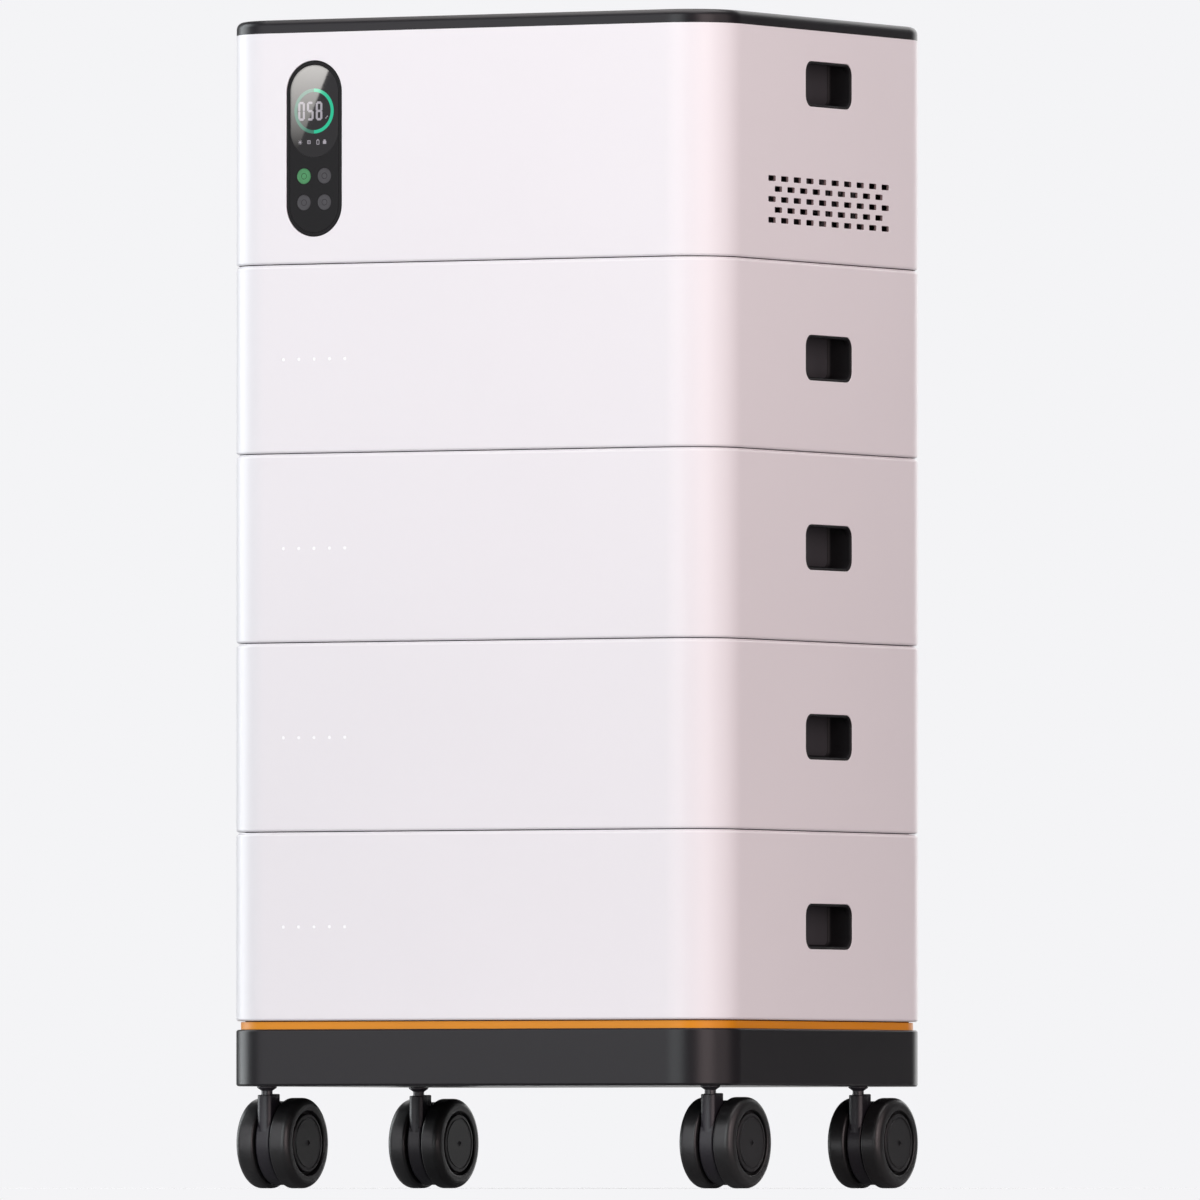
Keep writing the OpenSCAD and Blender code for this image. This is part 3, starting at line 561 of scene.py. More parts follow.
def screenGlow(name, look):
    # a lit figure seen through glass: fine picture grain, and the glass's own gloss over it
    material, finish = startFinish(name)
    grain = noise(finish, whereOn(finish), 2400, 2)
    light = blend(finish, grain, scaled(look["colour"], 0.86), look["colour"])
    closeFinish(finish, colour=shade((14, 14, 15)), roughness=0.03, specular=0.27, glow=light,
                glowStrength=look["glow"])
    return material


# what every paint has unless its own look says otherwise
paintBase = dict(peelDepth=0.0003, dustScale=300, edgeRadius=0.001, edgeWear=0.25, roughnessSpread=0.1,
                 specular=0.5, coat=0.0, coatRoughness=0.3)
paintLooks = {
    "white_paint": dict(
        paintBase, colour=(0.80, 0.785, 0.805, 1), spread=0.012, cloudScale=2.6, peelScale=520, peel=0.10,
        dust=0.03, dustColour=shade((190, 188, 190)), edgeRadius=0.0012, edgeWear=0.10,
        edgeColour=shade((250, 250, 252)), roughness=0.42, roughnessSpread=0.08, specular=0.36, coat=0.12,
        coatRoughness=0.22),
    "charcoal_paint": dict(
        paintBase, colour=shade((25, 24, 27)), spread=0.05, cloudScale=4, peelScale=700, peel=0.1,
        dustScale=380, dust=0.06, dustColour=shade((56, 55, 58)), edgeRadius=0.0012, edgeWear=0.3,
        edgeColour=shade((60, 58, 64)), roughness=0.33, roughnessSpread=0.08, specular=0.34),
    "grey_paint": dict(
        paintBase, colour=shade((150, 149, 154)), spread=0.03, cloudScale=5, peelScale=600, peel=0.2,
        dust=0.06, dustColour=shade((190, 190, 192)), edgeColour=shade((190, 190, 192)), roughness=0.5),
    "tie_plate_paint": dict(
        paintBase, colour=(0.76, 0.75, 0.77, 1), spread=0.02, cloudScale=9, peelScale=560, peel=0.14,
        dustScale=320, dust=0.05, dustColour=shade((180, 178, 180)), edgeColour=shade((240, 240, 242)),
        roughness=0.4, coat=0.2, coatRoughness=0.2),
    "orange_trim": dict(
        paintBase, colour=shade((226, 143, 17)), spread=0.04, cloudScale=7, peelScale=620, peel=0.12,
        dust=0.05, dustColour=shade((200, 120, 40)), edgeWear=0.1, edgeColour=shade((250, 190, 100)),
        roughness=0.42, specular=0.35, coatRoughness=0.2),
    "black_steel": dict(
        paintBase, colour=shade((48, 46, 51)), spread=0.06, cloudScale=30, peelScale=900, peel=0.15,
        peelDepth=0.0002, dustScale=500, dust=0.1, dustColour=shade((90, 88, 92)), edgeRadius=0.0008,
        edgeWear=0.5, edgeColour=shade((120, 118, 122)), roughness=0.35, roughnessSpread=0.12, coat=0.2,
        coatRoughness=0.2),
}
# and every moulded plastic
plasticBase = dict(grainScale=1500, grain=0.2, edgeRadius=0.0008, coat=0.0, coatRoughness=0.3)
plasticLooks = {
    "caster_plastic": dict(
        plasticBase, colour=shade((30, 28, 34)), flowScale=18, grainScale=1400, grain=0.12,
        edgeRadius=0.001, edgeWear=0.2, edgeLift=1.5, roughness=0.42, specular=0.5, coatRoughness=0.18),
    "hub_cover": dict(
        plasticBase, colour=shade((22, 22, 24)), flowScale=18, grainScale=1400, grain=0.12,
        edgeRadius=0.001, edgeWear=0.1, edgeLift=1.4, roughness=0.45, specular=0.4, coatRoughness=0.18),
    "connector_black": dict(
        plasticBase, colour=shade((36, 36, 38)), flowScale=24, grainScale=1600, edgeWear=0.3,
        edgeLift=1.8, roughness=0.5, specular=0.4),
    "grip_plastic": dict(
        plasticBase, colour=shade((24, 24, 26)), flowScale=20, grain=0.25, edgeRadius=0.0012,
        edgeWear=0.0, edgeLift=1.2, roughness=0.55, specular=0.22),
    # paler plastic for the floors of the grip pockets, painted light
    "grip_floor_painted_light": dict(
        plasticBase, colour=shade((58, 58, 61)), flowScale=20, grain=0.25, edgeRadius=0.0012,
        edgeWear=0.0, edgeLift=1.2, roughness=0.6, specular=0.3),
    # darker paint for the head's inside and its vent walls, painted shade
    "shell_painted_shade": dict(
        plasticBase, colour=shade((150, 132, 132)), flowScale=16, edgeWear=0.0, edgeLift=1.2,
        roughness=0.6, specular=0.3),
    "panel_black": dict(
        plasticBase, colour=shade((16, 16, 17)), flowScale=14, grainScale=2400, grain=0.05,
        edgeRadius=0.0006, edgeWear=0.2, edgeLift=2.2, roughness=0.3, specular=0.16, coatRoughness=0.12),
    "fan_plastic": dict(
        plasticBase, colour=shade((38, 38, 41)), flowScale=30, grain=0.12, edgeWear=0.2, edgeLift=1.6,
        roughness=0.4, specular=0.5, coat=0.1),
    "bay_plastic": dict(
        plasticBase, colour=shade((48, 47, 51)), flowScale=10, grainScale=1200, grain=0.35,
        edgeRadius=0.001, edgeWear=0.3, edgeLift=1.6, roughness=0.5, specular=0.45),
    "gland_plastic": dict(
        plasticBase, colour=shade((62, 61, 65)), flowScale=26, grainScale=1300, edgeWear=0.35,
        edgeLift=1.6, roughness=0.42, specular=0.5, coat=0.05),
    "breaker_grey": dict(
        plasticBase, colour=shade((214, 214, 212)), flowScale=14, grainScale=1300, edgeWear=0.15,
        edgeLift=1.08, roughness=0.45, specular=0.45, coat=0.05),
    "lever_black": dict(
        plasticBase, colour=shade((34, 34, 36)), flowScale=22, grainScale=1400, edgeWear=0.4,
        edgeLift=1.9, roughness=0.38, specular=0.5, coat=0.1, coatRoughness=0.25),
}
metalLooks = {
    "bare_steel": dict(colour=(0.60, 0.60, 0.61, 1), metal=1.0, lineStretch=(1, 0.06, 1), lineScale=500,
                       stainScale=28, stain=0.8, roughness=0.34, lineDepth=0.12),
    "dark_steel": dict(colour=(0.13, 0.13, 0.14, 1), metal=0.9, lineStretch=(1, 1, 1), lineScale=900,
                       stainScale=120, stain=0.7, roughness=0.4, lineDepth=0.1),
    "copper": dict(colour=(0.72, 0.36, 0.19, 1), metal=1.0, lineStretch=(0.08, 1, 1), lineScale=700,
                   stainScale=60, stain=0.7, roughness=0.3, lineDepth=0.12),
    "aluminium": dict(colour=(0.68, 0.68, 0.69, 1), metal=1.0, lineStretch=(0.03, 1, 1), lineScale=600,
                      stainScale=24, stain=0.85, roughness=0.38, lineDepth=0.2),
    "brass": dict(colour=(0.72, 0.53, 0.22, 1), metal=1.0, lineStretch=(1, 0.1, 1), lineScale=900,
                  stainScale=110, stain=0.75, roughness=0.28, lineDepth=0.15),
}
rubberLooks = {
    "wheel_rubber": dict(colour=shade((17, 17, 18)), scuffScale=70, scuff=0.15,
                         scuffColour=shade((36, 36, 38)), speckleScale=1500, roughness=0.36, specular=0.5,
                         coat=0.2, coatRoughness=0.2),
    "seal_rubber": dict(colour=shade((22, 22, 23)), scuffScale=120, scuff=0.2,
                        scuffColour=shade((50, 50, 50)), speckleScale=900, roughness=0.8, specular=0.25,
                        coat=0.0, coatRoughness=0.5),
}
otherLooks = {
    "circuit_board": dict(colour=shade((20, 98, 62)), runScale=90, runColour=shade((64, 140, 92)),
                          dotScale=160, padColour=(0.62, 0.55, 0.36, 1)),
    "cell_wrap": dict(colour=shade((38, 92, 168)), creaseScale=46),
    "coil_copper": dict(colour=(0.55, 0.26, 0.11, 1), turnScale=260),
    "ring_lit": dict(colour=shade((0, 203, 154)), glow=0.92),
    "ring_rest": dict(colour=shade((70, 176, 146)), glow=0.42),
    "reading": dict(colour=shade((196, 190, 200)), glow=0.7),
    "light_pipe": dict(colour=(0.93, 0.935, 0.95, 1), glow=0.12),
    "screen_glass": dict(colour=shade((14, 14, 15)), roughness=0.015, specular=0.27, coat=0.0,
                         coatRoughness=0.02),
    "key_green": dict(colour=shade((58, 124, 76)), roughness=0.42, coat=0.0, glow=0.42, rimLight=0.1),
    "key_grey": dict(colour=shade((52, 51, 54)), roughness=0.42, coat=0.0, glow=0.5, rimLight=0.3),
}
keyBoxes = [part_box(f"display_key_{k}") for k in range(1, 5)]
keyCentres = [(low + high) / 2 for low, high in keyBoxes]
keySquare = sum(keyCentres, Vector()) / 4
for name in ("key_green", "key_grey"):
    otherLooks[name]["square"] = (tuple(keySquare), abs(keyCentres[0].x - keySquare.x),
                                  abs(keyCentres[0].z - keySquare.z))
finishes = {name: powderCoat(name, look) for name, look in paintLooks.items()}
finishes.update({name: mouldedPlastic(name, look) for name, look in plasticLooks.items()})
finishes.update({name: workedMetal(name, look) for name, look in metalLooks.items()})
finishes.update({name: softRubber(name, look) for name, look in rubberLooks.items()})
otherMakers = {"circuit_board": circuitBoard, "cell_wrap": cellFilm, "coil_copper": woundWire,
               "light_pipe": clearPlastic, "screen_glass": darkGlass, "key_green": litKey,
               "key_grey": litKey, "ring_lit": screenGlow, "ring_rest": screenGlow, "reading": screenGlow}
finishes.update({name: otherMakers[name](name, look) for name, look in otherLooks.items()})
print("finishes made:", len(finishes))


# room, lights and floor

room = {
    "backdrop": (244, 244, 246),
    "ambient": (0.96, 0.96, 1.0, 1),
    "ambientStrength": 0.08,
}


def makeWorld(look):
    world = bpy.data.worlds.new("studioRoom")
    bpy.context.scene.world = world
    world.use_nodes = True
    tree = world.node_tree
    tree.nodes.clear()
    room = Signal(tree)
    seen = room.node("ShaderNodeBackground", None, {"Color": shade(look["backdrop"]), "Strength": 1.0})
    fill = room.node("ShaderNodeBackground", None,
                     {"Color": look["ambient"], "Strength": look["ambientStrength"]})
    direct = room.node("ShaderNodeLightPath", output="Is Camera Ray")
    mixed = room.node("ShaderNodeMixShader", None, {0: direct, 1: fill, 2: seen})
    room.node("ShaderNodeOutputWorld", None, {"Surface": mixed})


def softbox(name, place, aim, size, power, colour):
    data = bpy.data.lights.new(name, "AREA")
    data.shape = "RECTANGLE"
    data.size, data.size_y = size
    data.energy = power
    data.color = colour
    light = bpy.data.objects.new(name, data)
    bpy.context.scene.collection.objects.link(light)
    light.location = place
    light.rotation_euler = (Vector(aim) - Vector(place)).to_track_quat("-Z", "Y").to_euler()
    light.visible_camera = False


def around(azimuth, distance, height):
    angle = math.radians(azimuth)
    return (math.sin(angle) * distance, -math.cos(angle) * distance, height)


makeWorld(room)
middleOfRoom = (0, 0, 1.6)
coolWhite, warmWhite = (0.935, 0.98, 1.0), (1, 0.822, 0.825)
neutralWhite = (1, 1, 1)
sideLights = {
    # degrees round from the front, watts and colour
    "leftLight": (-90, 112, coolWhite),
    "fillLight": (-33, 44, (0.985, 0.955, 1.0)),
    "frontLight": (0, 88, coolWhite),
    "rightLight": (58, 92, warmWhite),
    "sideFill": (92, 36, warmWhite),
    "backLight": (180, 56, neutralWhite),
    "backFill": (-150, 34, neutralWhite),
}
lightDistance, sideLightSize = 4.0, (2.1, 4.4)
for name, (azimuth, power, colour) in sideLights.items():
    place = around(azimuth, lightDistance, middleOfRoom[2])
    softbox(name, place, middleOfRoom, sideLightSize, power, colour)
softbox("topLight", (0, 0, 3.9), (0, 0, 0), (3.5, 3.5), 122, (1, 0.955, 0.955))

floorPlan = {"radius": 3.2, "colour": (0.82, 0.82, 0.83, 1), "fade": (0.05, 1.1), "opening": 0.5}


def makeFloor(plan):
    focus()
    bpy.ops.mesh.primitive_circle_add(vertices=96, radius=plan["radius"], fill_type="NGON")
    floor = settle("studioFloor")
    material, finish = startFinish("paleFloor")
    spot = whereOn(finish)
    away = finish.node("ShaderNodeVectorMath", {"operation": "LENGTH"}, {0: spot}, output="Value")
    fade = within(finish, away, *plan["fade"], plan["opening"], 1.0)
    paint = finish.node("ShaderNodeBsdfDiffuse", None, {"Color": plan["colour"]})
    clear = finish.node("ShaderNodeBsdfTransparent")
    mixed = finish.node("ShaderNodeMixShader", None, {0: fade, 1: paint, 2: clear})
    finish.node("ShaderNodeOutputMaterial", None, {"Surface": mixed})
    floor.data.materials.append(material)


makeFloor(floorPlan)
bpy.context.scene.view_settings.view_transform = "Standard"
bpy.context.scene.view_settings.look = "None"
print("room lit")

# cabinets

cabinet = {
    "cornerRadius": 0.060,
    "cornerSteps": 24,
    "wall": 0.003,
    "rim": 0.0027,         # rounding of the upper and lower rims
    "lipRise": 0.0010,     # pale lip that stands in the seam
    "baseFloor": 0.004,
    "sideShift": 0.005,
    "mouth": (0.1036, 0.048, 0.0123),   # grip opening: width, height, corner radius
    "mouthRim": 0.0007,
    "headGripUp": 0.188,
    "lightGap": 0.0186,
    "lightHole": 0.00205,
    "tieSeat": (0.0446, 0.0606, 0.0043),
    "tieAside": 0.150,
    "tieDepth": 0.0017,
}
bodyLow, bodyHigh = cadBounds
frontY, backY = bodyLow.y, bodyHigh.y
sideX = bodyHigh.x
# how far each kind of cutter reaches in from its face, and how far it stands out
cuts = {"mouth": (0.005, 0.005), "slot": (0.006, 0.004), "light": (0.006, 0.002),
        "seat": (cabinet["tieDepth"], 0.005), "wall": (0.006, 0.003)}
cutIn, cutOut = cuts["wall"]
edgeSlack = 0.0002     # how far off its place an edge may be and still be picked
hair = 0.0001          # overlap of faces that would else only meet
past = 0.001           # how far a small cutter passes the face that it opens
moduleBoxes = [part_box(f"module_case_{n}") for n in range(1, 5)]
headLow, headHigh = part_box("head_case")
trayLow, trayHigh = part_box("base_tray")
capLow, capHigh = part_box("top_cap")
bandLow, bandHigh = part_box("accent_band")
moduleStep = moduleBoxes[1][0].z - moduleBoxes[0][0].z
halfGap = (moduleBoxes[1][0].z - moduleBoxes[0][1].z) / 2
seams = [low.z - halfGap for low, high in moduleBoxes] + [headLow.z - halfGap]
bezelLow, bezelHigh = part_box("display_bezel")
displayX = (bezelLow.x + bezelHigh.x) / 2
displayZ = (bezelLow.z + bezelHigh.z) / 2


def insetOf(spot):
    # how far a point lies inside the cabinet's outline, seen from above
    radius = cabinet["cornerRadius"]
    across = abs(spot.x) - (sideX - radius)
    deep = abs(spot.y) - (backY - radius)
    outside = math.hypot(max(across, 0), max(deep, 0)) + min(max(across, deep), 0)
    return radius - outside


def onRim(level):
    def test(end, otherEnd):
        return all(abs(p.z - level) < 1e-5 and abs(insetOf(p)) < 1e-4 for p in (end, otherEnd))
    return test


def cabinetShell(name, low, high, floor, rims=(True, True)):
    shell = roundedBlock(name, low, high, "z", cabinet["cornerRadius"], cabinet["cornerSteps"])
    insetAndPush(shell, lambda centre, normal: normal.z > 0.9, cabinet["wall"],
                 (0, 0, floor - (high.z - low.z)))
    for level, wanted in zip((low.z, high.z), rims):
        if wanted:
            roundEdges(shell, onRim(level), cabinet["rim"], 4)
    return shell


def raiseLip(shell, level):
    # the land inside the upper rim is drawn up into the seam
    pick(shell, "FACE", lambda centre, normal: normal.z > 0.9 and abs(centre.z - level) < 1e-5)
    bpy.ops.mesh.extrude_region_move(TRANSFORM_OT_translate={"value": (0, 0, cabinet["lipRise"])})
    focus(shell)


def mouthCutter(name, side, height):
    width, tall, radius = cabinet["mouth"]
    inward, outward = cuts["mouth"]
    inner, outer = sorted((side * (sideX - inward), side * (sideX + outward)))
    return roundedBlock(name, (inner, cabinet["sideShift"] - width / 2, height - tall / 2),
                        (outer, cabinet["sideShift"] + width / 2, height + tall / 2), "x", radius)


def tieCutter(name, aside, level):
    width, tall, radius = cabinet["tieSeat"]
    return roundedBlock(name, (aside - width / 2, backY - cuts["seat"][0], level - tall / 2),
                        (aside + width / 2, backY + cuts["seat"][1], level + tall / 2), "y", radius, 5)


def ringOf(boxes, axis, level):
    # edges of an opening in a flat face: both ends in that face and in one of the boxes
    index = "xyz".index(axis)
    others = [i for i in range(3) if i != index]

    def test(end, otherEnd):
        if any(abs(p[index] - level) > 1e-5 for p in (end, otherEnd)):
            return False
        return any(all(low[k] < p[i] < high[k] for p in (end, otherEnd) for k, i in enumerate(others))
                   for low, high in boxes)
    return test


def mouthBox(height):
    width, tall = cabinet["mouth"][:2]
    slack = 0.0002
    return ((cabinet["sideShift"] - width / 2 - slack, height - tall / 2 - slack),
            (cabinet["sideShift"] + width / 2 + slack, height + tall / 2 + slack))


def lightSpots(level):
    return [(displayX + (i - 2) * cabinet["lightGap"], frontY, level) for i in range(5)]


low, high = moduleBoxes[0]
middle = (low.z + high.z) / 2
moduleShell = cabinetShell("moduleShell1", low, high, cabinet["wall"])
raiseLip(moduleShell, high.z)
cutters = [mouthCutter("mouth", side, middle) for side in (-1, 1)]
cutters += [tieCutter("seat", aside * cabinet["tieAside"], level) for aside in (-1, 1)
            for level in seams[:2]]
inward, outward = cuts["light"]
cutters += [startRound("hole", "y", spot, frontY - outward, frontY + inward, cabinet["lightHole"], 24)
            for spot in lightSpots(middle)]
combine(moduleShell, "DIFFERENCE", joinAll("cutters", cutters))
for side in (-1, 1):
    roundEdges(moduleShell, ringOf([mouthBox(middle)], "x", side * sideX), cabinet["mouthRim"], 3)
shadeClean(moduleShell)
moduleShells = [moduleShell] + [copyAt(moduleShell, f"moduleShell{n + 1}", (0, 0, n * moduleStep))
                                for n in range(1, 4)]
for n, shell in enumerate(moduleShells):
    outfit(shell, "cabinet", "white_paint", f"module_case_{n + 1}")
print("module shells made")

headPlan = {
    "ventCentreUp": 0.063,
    "slot": (0.0165, 0.0058, 0.0012),
    "slotPitch": 0.0282,
    "rowPitch": 0.011,
    "slots": (10, 9, 10, 9, 10),
    "slotRim": 0.0004,
    "pill": (0.0672, 0.1866),
    "bay": (0.3006, 0.1106, 0.0083),
    "bayUp": 0.094,
    "pillRim": 0.0005,
    "bayRim": 0.0006,
    "ventMargin": 0.001,
    "ventDeep": 0.0055,
}


def slotCentres():
    rows = len(headPlan["slots"])
    return [(cabinet["sideShift"] + (i - (count - 1) / 2) * headPlan["slotPitch"],
             headLow.z + headPlan["ventCentreUp"] + (row - (rows - 1) / 2) * headPlan["rowPitch"])
            for row, count in enumerate(headPlan["slots"]) for i in range(count)]


def slotCutters(side):
    # one slot is shaped, then copied to every place
    width, tall, radius = headPlan["slot"]
    inward, outward = cuts["slot"]
    inner, outer = sorted((side * (sideX - inward), side * (sideX + outward)))
    slot = roundedBlock("slots", (inner, -width / 2, -tall / 2), (outer, width / 2, tall / 2), "x", radius,
                        4)
    return joinCopies("slots", slot, [(0, y, z) for y, z in slotCentres()])


headShell = cabinetShell("headShell", headLow, headHigh, cabinet["wall"], rims=(True, False))
gripLevel = headLow.z + cabinet["headGripUp"]
bayZ = headLow.z + headPlan["bayUp"]
pillWidth, pillTall = headPlan["pill"]
bayWide, bayTall, bayRound = headPlan["bay"]
cutters = [mouthCutter("mouth", side, gripLevel) for side in (-1, 1)]
cutters += [tieCutter("seat", aside * cabinet["tieAside"], seams[4]) for aside in (-1, 1)]
cutters += [slotCutters(side) for side in (-1, 1)]
cutters.append(roundedBlock("pill", (displayX - pillWidth / 2, frontY - cutOut, displayZ - pillTall / 2),
                            (displayX + pillWidth / 2, frontY + cutIn, displayZ + pillTall / 2), "y",
                            pillWidth * 0.4995, 24))
cutters.append(roundedBlock("bay", (-bayWide / 2, backY - cutIn, bayZ - bayTall / 2),
                            (bayWide / 2, backY + cutOut, bayZ + bayTall / 2), "y", bayRound, 6))
combine(headShell, "DIFFERENCE", joinAll("cutters", cutters))
slotWide, slotTall = headPlan["slot"][:2]
slotBoxes = [((y - slotWide / 2 - edgeSlack, z - slotTall / 2 - edgeSlack),
              (y + slotWide / 2 + edgeSlack, z + slotTall / 2 + edgeSlack)) for y, z in slotCentres()]
for side in (-1, 1):
    roundEdges(headShell, ringOf([mouthBox(gripLevel)], "x", side * sideX), cabinet["mouthRim"], 3)
    roundEdges(headShell, ringOf(slotBoxes, "x", side * sideX), headPlan["slotRim"], 2)
for centreX, centreZ, wide, tall, level, rim in (
        (displayX, displayZ, pillWidth, pillTall, frontY, headPlan["pillRim"]),
        (0, bayZ, bayWide, bayTall, backY, headPlan["bayRim"])):
    openingBox = ((centreX - wide / 2 - edgeSlack, centreZ - tall / 2 - edgeSlack),
                  (centreX + wide / 2 + edgeSlack, centreZ + tall / 2 + edgeSlack))
    roundEdges(headShell, ringOf([openingBox], "y", level), rim, 3)
shadeClean(headShell)
outfit(headShell, "cabinet", "white_paint", "head_case")
# the inside of the head and the walls of its vents take a darker paint, painted shade in the slots and
# behind them
headShell.data.materials.append(finishes["shell_painted_shade"])
lowVent = min(low[1] for low, high in slotBoxes) - headPlan["ventMargin"]
highVent = max(high[1] for low, high in slotBoxes) + headPlan["ventMargin"]
for polygon in headShell.data.polygons:
    spot = polygon.center
    inward = insetOf(spot) > cabinet["wall"] - 0.0004
    onVent = abs(spot.x) > sideX - headPlan["ventDeep"] and lowVent < spot.z < highVent and \
        abs(spot.y) < 0.2 and insetOf(spot) > 0.0003
    if inward or onVent:
        polygon.material_index = 1
print("head shell made")

# cap, band and plinth

capPlan = {"foot": 0.008, "edge": 0.008, "edgeSteps": 8, "hollow": 0.006, "roof": 0.003, "lipWall": 0.003,
           "lipFit": 0.0033}
capBase = headHigh.z
topCap = roundedBlock("topCapCover", (capLow.x, capLow.y, capBase), capHigh, "z", cabinet["cornerRadius"],
                      cabinet["cornerSteps"])
roundEdges(topCap, onRim(capHigh.z), capPlan["edge"], capPlan["edgeSteps"])
# the lip that drops into the head is drawn out of the underside, then the inside is pushed up
insetAndPush(topCap, lambda centre, normal: normal.z < -0.9 and abs(centre.z - capBase) < 1e-5,
             capPlan["lipFit"], (0, 0, -capPlan["foot"]))
insetAndPush(topCap, lambda centre,
             normal: normal.z < -0.9 and abs(centre.z - capBase + capPlan["foot"]) < 1e-5,
             capPlan["lipWall"], (0, 0, capHigh.z - capPlan["roof"] - capBase + capPlan["foot"]))
shadeClean(topCap)
outfit(topCap, "cabinet", "charcoal_paint", "top_cap")

bandPlan = {"radius": 0.055, "wall": 0.003}
band = roundedBlock("accentRing", bandLow, bandHigh, "z", bandPlan["radius"], cabinet["cornerSteps"])
inner = Vector((bandPlan["wall"], bandPlan["wall"], -0.01))
combine(band, "DIFFERENCE", roundedBlock("bandHollow", bandLow + inner, bandHigh - inner, "z",
                                         bandPlan["radius"] - bandPlan["wall"], cabinet["cornerSteps"]))
shadeClean(band)
outfit(band, "cabinet", "orange_trim", "accent_band")

casterPlan = {
    "stemHole": 0.0063,
    "screwCircle": 0.019,
    "screwSink": (0.0048, 0.0028, 0.002),
    "trail": 0.033,
}
corners = {"front_left": (-1, -1), "front_right": (1, -1), "back_left": (-1, 1), "back_right": (1, 1)}


def stemPlace(corner):
    # where a caster's stem stands, worked out from its axle and trail
    low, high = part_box(f"{corner}_axle")
    return Vector(((low.x + high.x) / 2, (low.y + high.y) / 2 - casterPlan["trail"], (low.z + high.z) / 2))


plinth = cabinetShell("plinthTray", trayLow, trayHigh, cabinet["baseFloor"])
cutters = [tieCutter("seat", aside * cabinet["tieAside"], seams[0]) for aside in (-1, 1)]
for corner in corners:
    stem = stemPlace(corner)
    under = trayLow.z
    cutters.append(startRound("hole", "z", stem, under - cutOut, under + cutIn, casterPlan["stemHole"], 32))
    for quarter in range(4):
        angle = math.radians(45 + 90 * quarter)
        spot = stem + Vector((math.cos(angle), math.sin(angle), 0)) * casterPlan["screwCircle"]
        wide, narrow, deep = casterPlan["screwSink"]
        cutters.append(startRound("sink", "z", spot, under - 2 * hair, under + deep, wide, 20, narrow))
        cutters.append(startRound("hole", "z", spot, under + deep - 3 * hair, under + cutIn,
                                  narrow - hair, 20))
combine(plinth, "DIFFERENCE", *cutters)
shadeClean(plinth)
outfit(plinth, "cabinet", "charcoal_paint", "base_tray")
print("cap, band and plinth made")

gripPlan = {
    "mouth": (0.103, 0.0474, 0.012),    # width, height and corner radius
    "depth": 0.030,
    "hook": 0.014,
    "wall": 0.0025,
    "flange": 0.006,
    "flangeThick": 0.002,
    "flush": 0.0002,
    "rim": 0.0021,
    "rimOutside": 0.0004,
    "slack": 0.00005,      # keeps the faces of overlapping solids from lying in one plane
    "overlap": 0.006,
    "backRounding": 0.004,
}


def makeGripPocket(plan, height):
    # the pocket of the right side at one height: mouth, flange behind the wall, room to hook the fingers
    wide, tall, radius = plan["mouth"]
    shift, wall, lip = cabinet["sideShift"], plan["wall"], sideX - cabinet["wall"]
    back, face = sideX - plan["depth"], sideX - plan["flush"]

    def block(name, start, end, grow, rise=0.0, extra=0.0):
        return roundedBlock(name, (start, shift - wide / 2 - grow, height - tall / 2 - grow + rise),
                            (end, shift + wide / 2 + grow, height + tall / 2 + grow + rise + extra), "x",
                            radius + grow, 10)

    slack, deep = plan["slack"], plan["overlap"]
    pocket = block("gripPockets", back + deep, face, 0.0)
    flange = block("flange", lip - plan["flangeThick"], lip, plan["flange"])
    housing = block("housing", back, lip - slack, slack, extra=plan["hook"])
    combine(pocket, "UNION", flange, housing)
    mouth = block("mouth", back + wall + deep, sideX + past, -wall)
    hollow = block("hollow", back + wall, lip - wall, slack - wall, extra=plan["hook"])
    behind = back + wall + past
    roundEdges(hollow, lambda end, otherEnd: end.x < behind and otherEnd.x < behind, plan["backRounding"], 5)
    combine(mouth, "UNION", hollow)
    combine(pocket, "DIFFERENCE", mouth)
    inside = ((shift - wide / 2 + wall - edgeSlack, height - tall / 2 + wall - edgeSlack),
              (shift + wide / 2 - wall + edgeSlack, height + tall / 2 - wall + edgeSlack))
    roundEdges(pocket, ringOf([inside], "x", face), plan["rim"], 6)
    outline = ringOf([((shift - wide, height - tall), (shift + wide, height + tall))], "x", face)

    def outerRing(end, otherEnd):
        onOutline = [min(wide / 2 - abs(p.y - shift), tall / 2 - abs(p.z - height)) < edgeSlack or
                     math.hypot(abs(p.y - shift) - wide / 2 + radius, abs(p.z - height) - tall / 2 + radius)
                     > radius - edgeSlack for p in (end, otherEnd)]
        return outline(end, otherEnd) and all(onOutline)

    roundEdges(pocket, outerRing, plan["rimOutside"], 2)
    return pocket


gripHeights = [(low.z + high.z) / 2 for low, high in moduleBoxes] + [gripLevel]
pocket = makeGripPocket(gripPlan, gripHeights[0])
oppositePocket = copyAt(pocket, "oppositePocket", mirrorAxis=0)
climbs = [(0, 0, level - gripHeights[0]) for level in gripHeights]
gripPockets = joinAll("gripPockets", [joinCopies("gripPockets", pocket, climbs),
                                      joinCopies("oppositePockets", oppositePocket, climbs)])
shadeClean(gripPockets)
outfit(gripPockets, "cabinet", "grip_plastic", "grip_cups")
# the floor of each pocket gets a paler, duller plastic than its walls, painted light where lamps shine in
# through the mouth
gripPockets.data.materials.append(finishes["grip_floor_painted_light"])
innermost = sideX - gripPlan["depth"] + gripPlan["wall"] + past
for polygon in gripPockets.data.polygons:
    side = math.copysign(1, polygon.center.x)
    if polygon.normal.x * side > 0.9 and abs(polygon.center.x) < innermost:
        polygon.material_index = 1
print("grip pockets made")

